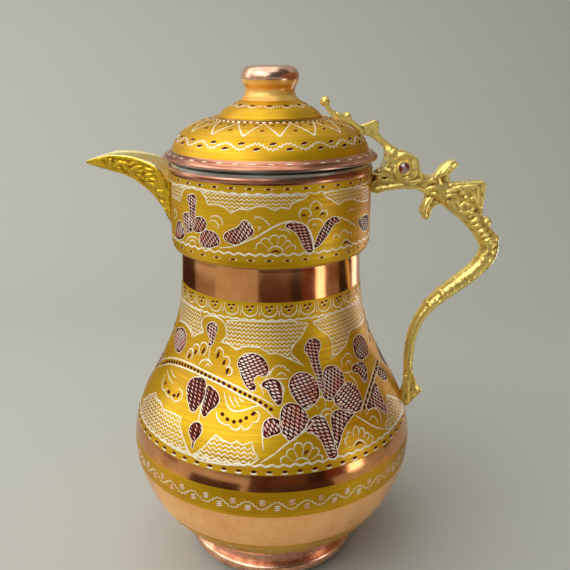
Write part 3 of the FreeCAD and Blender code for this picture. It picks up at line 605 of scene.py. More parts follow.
body_fans = on_body([
    [(448, 482), (458, 430), (498, 392), (504, 430), (482, 474)],
    [(500, 462), (502, 384), (538, 354), (556, 390), (532, 444)],
    [(560, 444), (560, 372), (590, 340), (620, 366), (612, 412), (582, 448)],
    [(684, 424), (702, 386), (742, 402), (746, 452)],
    [(744, 456), (786, 460), (796, 512), (760, 532)],
    [(768, 542), (806, 540), (812, 590), (776, 606)],
    [(282, 596), (258, 660), (272, 722), (304, 704)],
    [(276, 722), (302, 768), (348, 782)],
    [(330, 790), (376, 812), (412, 780), (418, 738), (392, 706)],
    [(300, 556), (312, 620), (350, 672)],
    [(330, 556), (345, 600), (372, 620)],
    [(690, 892), (702, 950), (742, 990), (792, 1000)],
    [(788, 992), (820, 1032), (868, 1032), (886, 1000)],
    [(888, 1000), (910, 1036), (950, 1026), (976, 990)],
    [(974, 986), (1016, 972), (1034, 936), (1028, 900), (1000, 890)],
], [
    [(375, 884), (400, 842), (442, 830)],
    [(440, 832), (470, 784), (510, 780), (522, 812)],
    [(520, 812), (560, 780), (592, 800), (600, 832)],
    [(600, 832), (640, 832), (662, 870)],
    [(442, 832), (470, 880)],
    [(522, 812), (525, 860)],
    [(600, 832), (570, 870)],
    [(168, 1312), (175, 1262), (216, 1246)],
    [(212, 1252), (225, 1202), (272, 1190)],
    [(272, 1198), (285, 1152), (330, 1150), (348, 1184)],
    [(348, 1176), (370, 1142), (412, 1152), (418, 1192)],
    [(414, 1196), (450, 1182), (472, 1212), (456, 1242)],
    [(456, 1238), (496, 1248), (492, 1294)],
    [(216, 1250), (262, 1290)],
    [(272, 1196), (300, 1262)],
    [(348, 1184), (340, 1250)],
    [(416, 1194), (380, 1256)],
    [(456, 1240), (410, 1280)],
    [(690, 1166), (680, 1120), (704, 1092)],
    [(704, 1104), (700, 1062), (732, 1062)],
    [(745, 1092), (750, 1032), (770, 1010), (790, 1050), (786, 1092)],
    [(790, 1054), (812, 1022), (836, 1050), (830, 1102)],
    [(834, 1074), (860, 1060), (872, 1090), (850, 1124)],
    [(868, 1082), (902, 1092), (890, 1136)],
    [(700, 1170), (725, 1180)],
    [(660, 540), (650, 490), (672, 452)],
    [(672, 456), (700, 426), (726, 440)],
    [(726, 446), (744, 462)],
])
body_brows = on_body([
    [(600, 534), (620, 514), (642, 536)],
    [(792, 760), (810, 810), (842, 862)],
    [(832, 768), (850, 812), (878, 850)],
    [(872, 768), (886, 800), (916, 812)],
], [
    [(510, 952), (530, 916), (562, 910)],
    [(138, 604), (170, 582), (212, 606)],
    [(692, 520), (700, 490), (722, 494), (720, 520)],
    [(710, 600), (750, 632), (786, 690)],
    [(850, 920), (880, 872), (930, 870), (962, 920), (968, 990)],
    [(876, 962), (900, 930), (930, 950), (940, 986)],
])
body_seeds = on_body([
    [(462, 462), (486, 432)],
    [(516, 430), (534, 400)],
    [(574, 430), (600, 384)],
    [(694, 466), (714, 410)],
    [(742, 520), (762, 480)],
    [(768, 592), (788, 545)],
    [(280, 680), (290, 650)],
    [(300, 726), (322, 742)],
    [(340, 760), (366, 766)],
    [(372, 780), (396, 744)],
    [(726, 904), (754, 922)],
    [(766, 944), (792, 962)],
    [(816, 972), (846, 976)],
    [(868, 972), (900, 962)],
    [(916, 952), (944, 936)],
    [(968, 920), (1006, 898)],
], [])
body_suns = on_body([
    [(575, 490), (610, 470), (650, 500)],
], [
    [(78, 600), (100, 552), (140, 526), (190, 530), (236, 575)],
])
body_cords = on_body([
    [(260, 512), (310, 488), (390, 500), (480, 535), (590, 590), (730, 656), (865, 726), (980, 782),
     (1070, 832), (1150, 890)],
], [
    [(826, 880), (852, 790), (884, 690), (914, 590), (940, 480)],
])
body_eyes = on_body([], [
    [(350, 1238), (372, 1214), (390, 1204)],
    [(764, 1170), (790, 1142), (820, 1146)],
])
# The sprig left of the middle also stands alone under the spout and the handle
sprig_turn = -56.0
sprig = ((body_petals, (0,)), (body_leaves, (0, 1)), (body_buds, (0,)), (body_sweeps, (0, 2, 3, 4)),
         (body_fans, range(5)), (body_brows, (0,)), (body_seeds, range(5)), (body_suns, (0,)))
for strokes, picks in sprig:
    strokes += [[(along + sprig_turn, place) for along, place in strokes[pick]] for pick in picks]
body_sweeps.append([(-90.6, 109.6), (-90.2, 112.2), (-90.4, 114.8)])

body_fields = body_petals + body_leaves + body_buds
lines = [(outline, 0.22, "loop") for outline in body_fields]
lines += [(points, 0.34, "sweep") for points in body_sweeps]
lines += [(points, 0.4, "sweep") for points in body_stems]
lines += [(points, 0.31, "sweep") for points in body_fans + body_brows]
lines += [(toothed(points, body_scale, 1.8, 0.5), 0.27, "zigzag") for points in body_suns]
lines += [(cloud + cloud[:1], 0.31, "zigzag") for cloud in body_clouds]
engrave("body_engraved_lines", cut_copper_and_sheen, lines, body_wall, both_sides, line_depth)
rows = [row for cloud in body_clouds for row in zigzag_rows(cloud, body_scale, 1.8, 2.5, 0.5, 0.3)]
engrave("body_engraved_clouds", cut_copper_and_sheen, rows, body_wall, both_sides, line_depth)
engrave("body_engraved_fields", maroon, body_fields, body_wall, both_sides, field_depth, draw=cut_fields)
dashes = [mark for petal in body_petals for mark in hatched(petal, body_scale, 2.0, 1.5, 1.9, 0.43, 0.95)]
for leaf in body_leaves + body_buds:
    dashes += hatched(leaf, body_scale, 2.4, 1.6, 1.5, 0.22, 0.8)
engrave("body_engraved_hatching", rose_cut_and_sheen, dashes, body_wall, both_sides, hatch_depth)

seed_width = 0.85
cord_pitch = 2.9
seeds = [([low, ((low[0] + high[0]) / 2, (low[1] + high[1]) / 2), high], seed_width, "dash")
         for low, high in body_seeds]
seeds += [(points, 0.5, "sweep") for points in body_eyes]
for cord in body_cords:
    for (x1, y1), (x2, y2) in zip(cord, cord[1:]):
        count = max(1, round(math.dist((x1, y1), (x2, y2)) / cord_pitch))
        for step in range(count):
            shares = [(step + share) / count for share in (0.1, 0.45, 0.8)]
            knot = [(x1 + (x2 - x1) * share, y1 + (y2 - y1) * share) for share in shares]
            seeds.append((knot, seed_width, "dash"))

# Rows all round: scallops with seeds under the neck, wavy lines, and seeds at the foot of the field
scallops = 32
foot_seeds = 64
scallop_marks = [
    ([(-4.6, 145.6), (-4.2, 142.6), (-2.0, 140.9), (2.0, 140.9), (4.2, 142.6), (4.6, 145.6)], 0.3, "sweep"),
    ([(5.6, 143.4), (5.8, 142.0), (5.6, 140.6)], 0.3, "dash")]
scallop_seeds = []
for along, place in ((-1.6, 144.8), (1.4, 145.1), (0.0, 143.3)):
    scallop_seeds.append(dash(along, place, 0.9, 0.6))
    scallop_marks.append(([(along - 0.5, place - 0.75), (along + 0.3, place - 0.7),
                           (along + 1.1, place - 0.3)], 0.26, "dash"))
rings = [round_wave(138.9, 70, 0.3, 0.38), round_wave(79.8, 84, 0.4, 0.44)]
rings += all_round(scallops, scallop_marks)
rings += all_round(foot_seeds, [([(-1.3, 76.5), (0.0, 76.3), (1.3, 76.5)], 0.42, "dash")])
seed_rows = all_round(scallops, scallop_seeds) + all_round(foot_seeds, [dash(0.0, 77.3, 1.0, 0.65)])
engrave("body_engraved_rings", cut_copper_and_sheen, rings, body_wall, once, line_depth)
engrave("body_engraved_seeds", maroon, seeds, body_wall, both_sides, seed_depth)
engrave("body_engraved_seed_rows", maroon, seed_rows, body_wall, once, seed_depth)

# Engraving of the bowl's gold bands: a creeping toothed stem with leaves, and a plain zigzag above the foot.
# Both are cut through the lacquer with the same burin as the body.


def creeping(count, height, rise):
    """One bend of a stem that creeps round in a number of bends."""
    return [(360 / count * step / 8, height + rise * math.sin(math.tau * step / 8)) for step in range(9)]


creeper_bends = 34
foot_teeth = 40
leaf_depth = (0.03, 0.4)
stem = toothed(creeping(creeper_bends, 61.5, 1.9), body_scale, 1.7, 0.42)
creeper = all_round(creeper_bends, [(stem, 0.26, "zigzag")])
creeper += all_round(foot_teeth, [([(0.0, 26.4), (4.5, 31.6), (9.0, 26.4)], 0.16, "zigzag")])
bend_leaves = [dash(360 / creeper_bends * share, height + shift, 1.1, 0.4, 0.25)
               for share, height in ((0.27, 60.3), (0.77, 63.1)) for shift in (-1.0, 0.0, 1.0)]
leaves = all_round(creeper_bends, bend_leaves)
leaves += all_round(foot_teeth, [([(-1.4, 29.6), (0.0, 29.8), (1.4, 29.6)], 0.28, "dash")])
engrave("bowl_engraved_creeper", cut_copper_and_sheen, creeper, body_wall, once, line_depth)
engrave("bowl_engraved_leaves", rose_cut_and_sheen, leaves, body_wall, once, leaf_depth)

# Collar: a straight copper cylinder spun with a rounded foot that sits on the neck, lacquered gold outside.
# Its lip steps in for the lid and is tinned like the inside; an arched window opens to the spout.
collar_radius = 48.0
collar_foot = 162.5
collar_straight = 168.6
collar_top = 199.5
collar_at = unrolled([(collar_radius, 166.5), (collar_radius, collar_top)])
collar_corner = smooth_line([(44.4, collar_foot), (46.7, 163.4), (47.75, 165.8),
                             (collar_radius, collar_straight)], 8)
collar_outline = [(43.55, neck_top), (43.5, collar_foot)] + collar_corner
collar_outline += between(collar_at, collar_straight, collar_top, 2.2)[1:] + [
    (46.9, collar_top), (46.9, 203.6), (46.6, 204.0), (46.0, 204.0), (45.7, 203.6), (45.7, 198.3),
    (46.8, 198.3), (46.8, 166.5), (43.3, 161.5), (41.2, 161.5), (41.2, 154.3), (42.35, 154.3),
    (42.35, neck_top)]


def collar_finish(radius, height, outwards, upwards):
    if height < collar_foot and radius > 43.0 and outwards > 0.5:
        return 2
    return 1 if height > collar_top - 0.1 or radius < 44.0 or outwards < -0.2 else 0


def bake(piece):
    """Makes a piece's modifiers part of its mesh."""
    bpy.context.view_layer.update()
    plain = piece.data
    piece.data = bpy.data.meshes.new_from_object(piece.evaluated_get(bpy.context.evaluated_depsgraph_get()))
    piece.modifiers.clear()
    bpy.data.meshes.remove(plain)


def new_corners(extruded):
    """The new vertices of an extrusion."""
    return [part for part in extruded["geom"] if isinstance(part, bmesh.types.BMVert)]


collar = show("collar_spun", spun(collar_outline, collar_finish), [lacquer, tin, copper], "pot",
              ["collar"])
window_front = -0.0500
window_depth = 0.012
arch_radius = 0.0085
arch_height = 0.1818
sill_height = 0.1768
window = bmesh.new()
angles = [math.pi * step / 16 for step in range(17)]
arch = [window.verts.new((window_front, arch_radius * math.cos(angle),
                          arch_height + arch_radius * math.sin(angle))) for angle in angles]
sill = [window.verts.new((window_front, side * arch_radius, sill_height)) for side in (-1, 1)]
deep = bmesh.ops.extrude_face_region(window, geom=[window.faces.new(arch + sill)])
bmesh.ops.translate(window, vec=(window_depth, 0, 0), verts=new_corners(deep))
bmesh.ops.recalc_face_normals(window, faces=window.faces)
cutter_mesh = bpy.data.meshes.new("cutter")
window.to_mesh(cutter_mesh)
window.free()
cutter = bpy.data.objects.new("cutter", cutter_mesh)
bpy.context.scene.collection.objects.link(cutter)
cut = collar.modifiers.new("cut", "BOOLEAN")
cut.object = cutter
cut.solver = "EXACT"
bake(collar)
bpy.data.objects.remove(cutter)
bpy.data.meshes.remove(cutter_mesh)

# Engraving of the collar: the same flowers and clouds as on the body, between two rows of dark seeds.
# The rows lie where the wall turns in at the foot and below the lip.
collar_scale = math.radians(collar_radius)
collar_wall = (collar_at, collar_scale)
collar_foot_wall = (unrolled(collar_corner + [(collar_radius, collar_top)]), collar_scale)
collar_view = (160, 180, 6.5)
collar_clouds = traced(collar_view, [
    [(255, 55), (330, 72), (420, 86), (520, 95), (650, 98), (760, 101), (880, 98), (970, 98), (930, 125),
     (860, 150), (840, 186), (790, 178), (745, 199), (690, 172), (630, 172), (575, 195), (520, 188),
     (460, 215), (425, 180), (370, 158), (310, 160), (300, 120)],
    [(1060, 85), (1150, 66), (1250, 52), (1350, 40), (1352, 130), (1300, 140), (1250, 124), (1200, 130),
     (1160, 160), (1120, 130), (1085, 112)],
    [(80, 30), (140, 30), (180, 40), (150, 70), (137, 105), (132, 140), (105, 120), (80, 110)],
], collar_at)
collar_petals = traced(collar_view, [
    [(178, 104), (200, 93), (226, 98), (236, 135), (230, 185), (232, 240), (216, 292), (198, 340),
     (186, 300), (190, 240), (192, 180)],
    [(150, 235), (172, 210), (190, 226), (196, 262), (190, 310), (180, 345), (165, 300), (152, 262)],
    [(207, 292), (215, 256), (246, 238), (281, 246), (302, 276), (300, 310), (275, 336), (240, 341),
     (216, 326)],
    [(258, 372), (280, 332), (316, 326), (361, 346), (386, 381), (386, 416), (350, 436), (300, 441),
     (266, 416)],
    [(104, 320), (128, 262), (148, 292), (162, 350), (132, 388), (104, 365)],
    [(425, 396), (414, 366), (430, 340), (470, 320), (510, 300), (534, 268), (552, 262), (582, 281),
     (606, 316), (605, 351), (575, 376), (540, 401), (500, 421), (455, 412)],
    [(815, 300), (850, 275), (890, 270), (932, 286), (962, 322), (981, 371), (992, 421), (990, 466),
     (960, 470), (940, 450), (921, 415), (905, 380), (880, 345), (850, 322)],
    [(1003, 440), (1010, 400), (1036, 340), (1066, 290), (1101, 250), (1131, 238), (1161, 250), (1168, 266),
     (1141, 282), (1116, 316), (1091, 356), (1060, 400), (1024, 436)],
    [(1290, 262), (1310, 242), (1352, 240), (1350, 300), (1330, 332), (1308, 320)],
], collar_at)
collar_sweeps = traced(collar_view, [
    [(133, 140), (140, 92), (165, 56), (200, 43), (245, 56), (285, 95), (303, 130), (310, 160)],
    [(165, 405), (185, 376), (216, 370), (246, 386), (262, 425)],
    [(188, 412), (205, 392), (226, 400), (234, 425)],
    [(1131, 238), (1181, 246), (1231, 270), (1275, 302)],
    [(698, 468), (720, 441), (756, 432), (791, 446), (807, 472)],
    [(1180, 420), (1192, 396), (1222, 390), (1240, 412)],
], collar_at)
collar_stems = traced(collar_view, [
    [(385, 442), (450, 436), (510, 421), (570, 396), (620, 376), (680, 341), (740, 306), (800, 280),
     (850, 270), (900, 275), (941, 291), (970, 321), (986, 361), (996, 401), (1001, 441), (996, 470)],
], collar_at)
collar_fans = traced(collar_view, [
    [(622, 452), (632, 416), (662, 406)],
    [(652, 412), (664, 386), (696, 380), (714, 398)],
    [(710, 392), (725, 366), (756, 362), (772, 380)],
    [(770, 380), (786, 362), (816, 370), (822, 398)],
    [(814, 398), (840, 395), (852, 424)],
    [(848, 422), (876, 426), (882, 458)],
    [(664, 412), (700, 440)],
    [(712, 398), (735, 428)],
    [(770, 380), (765, 425)],
    [(818, 398), (790, 432)],
    [(850, 424), (812, 448)],
    [(914, 252), (904, 216), (930, 186), (966, 190), (982, 224), (966, 242)],
    [(972, 196), (985, 152), (1016, 138), (1046, 160), (1050, 200)],
    [(1040, 216), (1066, 196), (1088, 206), (1084, 240)],
    [(955, 292), (975, 262), (1010, 250), (1050, 262), (1068, 288)],
    [(1128, 394), (1130, 366), (1158, 356), (1170, 378)],
    [(1172, 366), (1184, 332), (1212, 330), (1220, 356)],
    [(1218, 352), (1240, 340), (1246, 366)],
], collar_at)
collar_brows = traced(collar_view, [
    [(325, 246), (355, 232), (390, 246), (406, 275), (402, 298)],
    [(315, 271), (345, 262), (370, 280), (381, 303), (372, 316)],
    [(343, 300), (358, 305)],
    [(92, 225), (100, 190), (108, 225), (95, 250)],
    [(640, 332), (650, 308), (655, 318)],
    [(990, 302), (1003, 285), (1018, 302)],
    [(1220, 212), (1240, 190), (1266, 196)],
], collar_at)
collar_suns = traced(collar_view, [
    [(612, 246), (640, 240), (662, 250), (684, 264), (702, 280), (712, 300)],
    [(768, 318), (795, 322), (830, 328), (850, 345)],
], collar_at)
collar_eyes = traced(collar_view, [
    [(722, 476), (752, 462), (784, 478)],
    [(1042, 232), (1056, 216), (1072, 226)],
    [(1008, 196), (1022, 180), (1034, 190)],
    [(918, 240), (934, 226), (950, 236)],
    [(1190, 422), (1210, 402), (1234, 416)],
], collar_at)

lines = [(outline, 0.22, "loop") for outline in collar_petals]
lines += [(points, 0.3, "sweep") for points in collar_sweeps]
lines += [(points, 0.4, "sweep") for points in collar_stems]
lines += [(points, 0.28, "sweep") for points in collar_fans + collar_brows]
lines += [(toothed(points, collar_scale, 1.6, 0.45), 0.22, "zigzag") for points in collar_suns]
lines += [(cloud + cloud[:1], 0.3, "zigzag") for cloud in collar_clouds]
for cloud in collar_clouds:
    lines += zigzag_rows(cloud, collar_scale, 1.6, 2.2, 0.45, 0.23)
engrave("collar_engraved_lines", cut_copper_and_sheen, lines, collar_wall, both_sides, line_depth)
engrave("collar_engraved_fields", maroon, collar_petals, collar_wall, both_sides, field_depth,
        draw=cut_fields)
dashes = []
for petal in collar_petals:
    dashes += hatched(petal, collar_scale, 1.8, 1.4, 1.7, 0.37, 0.95)
engrave("collar_engraved_hatching", rose_cut_and_sheen, dashes, collar_wall, both_sides, hatch_depth)
collar_seeds = 38
eye_depth = (0.05, 0.4)
seeds = []
edges = []
for height in (198.1, 167.3):
    seeds.append(dash(0.0, height, 1.3, 0.48))
    edges.append(([(0.9, height - 0.3), (1.7, height), (2.3, height + 0.2)], 0.36, "dash"))
    edges.append(([(-2.0, height - 0.2), (-1.5, height), (-1.0, height + 0.4)], 0.26, "dash"))
rings = [round_wave(196.0, 56, 0.3, 0.3), round_wave(169.9, 64, 0.45, 0.42)] + all_round(collar_seeds, edges)
engrave("collar_engraved_rings", cut_copper_and_sheen, rings, collar_foot_wall, once, line_depth)
engrave("collar_engraved_seeds", maroon, all_round(collar_seeds, seeds), collar_foot_wall, once, eye_depth)
eyes = [(points, 0.5, "sweep") for points in collar_eyes]
engrave("collar_engraved_eyes", maroon, eyes, collar_wall, both_sides, eye_depth)

# Mouth rim: a rolled copper band soldered on the step below the lip, left bare and browned by handling.
# Browned copper: darkened by hands and coffee, satin, with rubbed streaks 1 mm tall that run round the band.
browned = mottled("browned_copper", (60, 60, 1000, 4.0), (0.35, "#90503C", 0.68, "#E6AA8C"),
                  {"Metallic": 1.0}, gloss=(0.3, 0.7, 0.36, 0.22), relief=(0.25, 0.0003))
rim_top = 202.2
rim_roll = smooth_line([(48.0, collar_top), (48.25, 200.2), (48.3, 200.85), (48.25, 201.5),
                        (48.0, rim_top)], 4)
rim = spun([(46.9, collar_top)] + rim_roll + [(46.9, rim_top)], lambda *place: 0)
show("mouth_rim_rolled", rim, [browned], "pot", ["mouth_rim"])

# Spout: an open beak cast in yellow brass, with leaf scrolls on its cheeks and a filed rim; its inside and
# every face turned up are pale, on the tops partly as a painted highlight.
# It is soldered over the window in the collar.


def mark_dips(mesh, step):
    """Writes on each point of a mesh how far it lies in a hollow, in steps and evened out."""
    evenings = 4
    skin = bmesh.new()
    skin.from_mesh(mesh)
    depth = skin.verts.layers.float.new("dip")
    around = [[edge.other_vert(vertex) for edge in vertex.link_edges] for vertex in skin.verts]
    dips = [(sum((other.co for other in ring), Vector()) / len(ring) - vertex.co).dot(vertex.normal) / step
            for vertex, ring in zip(skin.verts, around)]
    for _ in range(evenings):
        dips = [(dips[place] + sum(dips[other.index] for other in ring)) / (1 + len(ring))
                for place, ring in enumerate(around)]
    for vertex, dip in zip(skin.verts, dips):
        vertex[depth] = dip
    skin.to_mesh(mesh)
    skin.free()


def cast(name, node, strokes, lumps, finish, body, voxel, rounds, grain, filed_and_sheen_finish=None):
    """A casting: the CAD node's form with raised strokes and lumps on both cheeks, melted into one skin.

    Voxel is the melt's step in millimetres, rounds the smoothing and grain the sand's depth in millimetres.
    """
    ray_start = 0.05
    bm = bmesh.new()
    bm.from_mesh(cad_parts[node].data)
    bmesh.ops.remove_doubles(bm, verts=bm.verts, dist=1e-6)
    skin = BVHTree.FromBMesh(bm)
    for middle, reaches in lumps:
        ball = bmesh.ops.create_icosphere(bm, subdivisions=3, radius=MM)["verts"]
        bmesh.ops.scale(bm, verts=ball, vec=reaches)
        bmesh.ops.translate(bm, verts=ball, vec=Vector(middle) * MM)
    curve = bpy.data.curves.new("strokes", "CURVE")
    curve.dimensions = "3D"
    curve.bevel_depth = 1.0
    curve.bevel_resolution = 2
    curve.resolution_u = 5
    curve.use_fill_caps = True
    for side in (-1, 1):
        for points, half_width, sunk in strokes:
            spots = []
            for reach, height in points:
                start = Vector((reach * MM, side * ray_start, height * MM))
                hit = skin.ray_cast(start, Vector((0, -side, 0)))[0]
                if hit is not None and hit.y * side > 0:
                    spots.append(hit - Vector((0, side * sunk * half_width * MM, 0)))
            if len(spots) < 2:
                continue
            for step, knot in enumerate(add_spline(curve, spots)):
                knot.radius = half_width * MM * (0.55 + 0.45 * math.sin(math.pi * step / (len(spots) - 1)))
    ridges = curve_mesh(curve)
    bm.from_mesh(ridges)
    bpy.data.meshes.remove(ridges)
    piece = show(name, bm, [finish], body, [node], 180)
    melt = piece.modifiers.new("melt", "REMESH")
    melt.mode = "VOXEL"
    melt.voxel_size = voxel * MM
    melt.use_smooth_shade = True
    ease = piece.modifiers.new("ease", "SMOOTH")
    ease.factor = 0.5
    ease.iterations = rounds
    sand = bpy.data.textures.new(name + "_sand", "CLOUDS")
    sand.noise_scale = 1.6 * MM
    sand.noise_depth = 2
    rough = piece.modifiers.new("rough", "DISPLACE")
    rough.texture = sand
    rough.texture_coords = "LOCAL"
    rough.strength = grain * MM
    rough.mid_level = 0.62
    bake(piece)
    piece.data.materials.clear()
    piece.data.materials.append(finish)
    piece.data.materials.append(filed_and_sheen_finish or finish)
    # Inner faces and faces turned up take the second, pale finish: filing inside, and on the tops a painted
    # highlight as well.
    for face in piece.data.polygons:
        inwards = face.center.y * face.normal.y < 0 and face.normal.z > -0.2
        face.material_index = 1 if filed_and_sheen_finish and (inwards or face.normal.z > 0.6) else 0
    mark_dips(piece.data, voxel * MM)


def cast_brass(name, light, dark, gloss_low, gloss_high, metal):
    """Sand-cast brass: bright on high spots, browner in the pits, with a fine grain and a soft polish."""
    material, tree, shader = new_finish(name, {"Metallic": metal})
    place = add_node(tree, "ShaderNodeTexCoord", {}).outputs["Object"]
    # Pits about 1.5 mm across
    pits = add_node(tree, "ShaderNodeTexNoise", {"Vector": place, "Scale": 330.0, "Detail": 3.0})
    # Sand grain 0.4 mm across
    grain = add_node(tree, "ShaderNodeTexNoise", {"Vector": place, "Scale": 1300.0, "Detail": 2.0})
    # Dips are how far each point of a casting lies in a hollow; a turned piece has none
    dip = add_node(tree, "ShaderNodeAttribute", {}, attribute_name="dip")
    worn = add_node(tree, "ShaderNodeMath", {0: dip.outputs["Fac"], 1: -3.2, 2: pits.outputs["Fac"]},
                    operation="MULTIPLY_ADD")
    tone = add_node(tree, "ShaderNodeValToRGB", {"Fac": worn.outputs["Value"]})
    for stop, position, colour in zip(tone.color_ramp.elements, (0.22, 0.5), (dark, light)):
        stop.position = position
        stop.color = linear(colour)
    gloss = add_node(tree, "ShaderNodeMapRange",
                     {"Value": worn.outputs["Value"], "From Min": 0.3, "From Max": 0.6,
                      "To Min": gloss_high, "To Max": gloss_low})
    sand = add_node(tree, "ShaderNodeBump",
                    {"Height": grain.outputs["Fac"], "Strength": 0.15, "Distance": 0.0003})
    relief = add_node(tree, "ShaderNodeBump",
                      {"Height": pits.outputs["Fac"], "Strength": 0.3, "Distance": 0.0006,
                       "Normal": sand.outputs["Normal"]})
    tree.links.new(tone.outputs["Color"], shader.inputs["Base Color"])
    tree.links.new(gloss.outputs["Result"], shader.inputs["Roughness"])
    tree.links.new(relief.outputs["Normal"], shader.inputs["Normal"])
    return material


def on_plane(view, strokes, depth):
    """Strokes on an enlarged view, as reaches and heights on an upright plane across the line of sight."""
    result = []
    for points in strokes:
        lines = [sight(view, point) for point in points]
        spots = [camera_place + line * ((depth - camera_place.y) / line.y) for line in lines]
        result.append([(spot.x, spot.z) for spot in spots])
    return result


spout_brass = cast_brass("yellow_cast_brass", "#E2B82A", "#9A7010", 0.26, 0.42, 0.85)
# Filed brass: pale, for the spout's inside and its upward faces, where the paleness is partly a painted
# highlight.
filed_brass_and_painted_sheen = cast_brass("filed_brass_and_painted_sheen", "#FCF0B0", "#E8CE70", 0.36, 0.48, 0.6)
spout_view = (80, 140, 11.0)
spout_depth = -8.0
spout_scrolls = on_plane(spout_view, [
    [(180, 238), (260, 192), (420, 180), (600, 200), (760, 250), (880, 320), (935, 400), (965, 470)],
    [(100, 250), (300, 332), (500, 384), (640, 462), (760, 562), (880, 682), (960, 800)],
    [(250, 205), (285, 196), (320, 188)],
    [(310, 240), (330, 222), (345, 240), (325, 252)],
    [(430, 236), (460, 250), (485, 276)],
    [(470, 215), (500, 202), (520, 215)],
    [(556, 272), (600, 246), (650, 240), (690, 252)],
    [(598, 296), (650, 290), (700, 284)],
    [(735, 306), (790, 318), (850, 306)],
    [(620, 366), (660, 390), (705, 424)],
    [(728, 386), (770, 376), (810, 368)],
    [(715, 446), (780, 420), (850, 432)],
    [(838, 540), (880, 552), (935, 548)],
    [(875, 602), (940, 604)],
    [(350, 306), (420, 262), (500, 252), (542, 292), (520, 330)],
    [(540, 336), (600, 312), (660, 330), (702, 382), (680, 420)],
    [(700, 486), (760, 470), (820, 488), (852, 532)],
    [(380, 300), (440, 320), (480, 350)],
    [(580, 410), (640, 430), (690, 470)],
    [(760, 530), (800, 570), (850, 600)],
    [(880, 660), (920, 680), (955, 700)],
    [(920, 740), (950, 760), (975, 780)],
], spout_depth)
scrolls = [(points, 0.9, 0.0) for points in spout_scrolls]
cast("spout_cast", "spout", scrolls, [], spout_brass, "pot", 0.36, 2, 0.16, filed_brass_and_painted_sheen)

# Handle: a dragon in pale cast brass, its head at the hinge, with a curling crest and a leaf at its tail.
# Studs hold its jaw to the collar and its tail to the body; the casting is left pitted and its edges rubbed.
handle_brass = cast_brass("pale_cast_brass", "#FFE480", "#A4742A", 0.2, 0.36, 0.6)
head_view = (365, 95, 8.0)
grip_view = (395, 210, 6.0)
cheek_depth = -4.0
crest_curls = on_plane(head_view, [
    [(775, 790), (795, 752), (845, 758), (876, 800), (852, 838), (812, 818)],
    [(748, 900), (790, 868), (850, 878), (868, 912), (820, 938), (760, 930)],
    [(660, 712), (760, 706), (860, 700), (945, 694)],
    [(655, 772), (760, 745), (840, 738), (905, 732)],
    [(918, 742), (912, 800), (905, 860), (918, 905)],
    [(640, 812), (690, 800), (740, 830), (735, 870)],
    [(690, 870), (740, 940), (800, 985)],
    [(660, 850), (700, 905), (760, 965), (830, 1010)],
    [(830, 970), (880, 955), (910, 985), (870, 1020)],
], cheek_depth)
head_folds = on_plane(head_view, [
    [(190, 470), (240, 452), (300, 452), (360, 468), (395, 505), (412, 560), (430, 620), (450, 660)],
    [(245, 560), (240, 610), (262, 650), (310, 668), (350, 650)],
    [(100, 600), (150, 588), (195, 600), (235, 620)],
    [(80, 750), (150, 738), (300, 722), (400, 730), (470, 760)],
    [(240, 640), (320, 690), (400, 690), (440, 670)],
    [(380, 520), (395, 580), (390, 640)],
    [(180, 400), (200, 430), (196, 470)],
    [(255, 500), (285, 476), (325, 484), (345, 525), (340, 590)],
    [(440, 660), (480, 690), (540, 680), (590, 640)],
    [(480, 760), (530, 740), (600, 760), (640, 800)],
    [(610, 600), (600, 660), (620, 720)],
    [(500, 800), (560, 790), (610, 810)],
], cheek_depth)
grip_folds = on_plane(head_view, [
    [(830, 1020), (880, 1000), (940, 960)],
    [(850, 1060), (900, 1040), (960, 1010)],
    [(890, 1110), (940, 1085), (1000, 1060)],
    [(905, 1150), (960, 1120), (1030, 1100)],
    [(920, 1190), (980, 1160), (1050, 1150)],
    [(915, 1240), (975, 1205), (1055, 1200)],
    [(905, 1285), (970, 1255), (1050, 1250)],
], cheek_depth)
grip_scales = on_plane(grip_view, [
    [(500, 200), (550, 190), (610, 205)],
    [(495, 235), (550, 225), (605, 240)],
    [(490, 270), (540, 262), (590, 280)],
    [(470, 300), (520, 300), (570, 320)],
    [(455, 330), (500, 335), (545, 355)],
    [(430, 345), (470, 360), (520, 385)],
    [(400, 365), (440, 385), (480, 410)],
    [(370, 390), (405, 410), (440, 440)],
    [(335, 420), (365, 440), (400, 465)],
    [(300, 450), (330, 465), (355, 490)],
    [(260, 490), (290, 505), (310, 530)],
    [(225, 520), (250, 540), (270, 560)],
    [(190, 560), (215, 575), (230, 590)],
], cheek_depth)
leaf_ribs = on_plane(grip_view, [
    [(95, 960), (120, 1040), (100, 1100)],
    [(120, 1020), (150, 1075)],
    [(75, 1010), (80, 1090), (75, 1150)],
    [(110, 1060), (130, 1080), (105, 1115)],
], cheek_depth)
horn_ridge = [(79.4, 194.6), (82.6, 198.4), (85.2, 201.2), (88.0, 202.4)]
spur_ridge = [(77.6, 186.6), (75.2, 182.6), (74.2, 178.8), (74.8, 175.6)]
folds = [(horn_ridge, 2.3, 0.45), (spur_ridge, 2.2, 0.45)]
folds += [(points, 1.1, 0.0) for points in crest_curls]
folds += [(points, 1.1, 0.1) for points in head_folds]
folds += [(points, 1.2, 0.1) for points in grip_folds]
folds += [(points, 1.25, 0.0) for points in grip_scales]
folds += [(points, 0.8, 0.1) for points in leaf_ribs]
spine_knob = (2.7, 2.4, 2.7)
knobs = [((reach, side * 1.6, height), spine_knob) for reach, height in ((105.0, 173.2), (109.2, 165.2))
         for side in (-1, 1)]
knobs.append(((51.5, 0.0, 195.3), (2.5, 6.4, 4.4)))
cast("handle_cast", "handle", folds, knobs, handle_brass, "pot", 0.4, 1, 0.26)

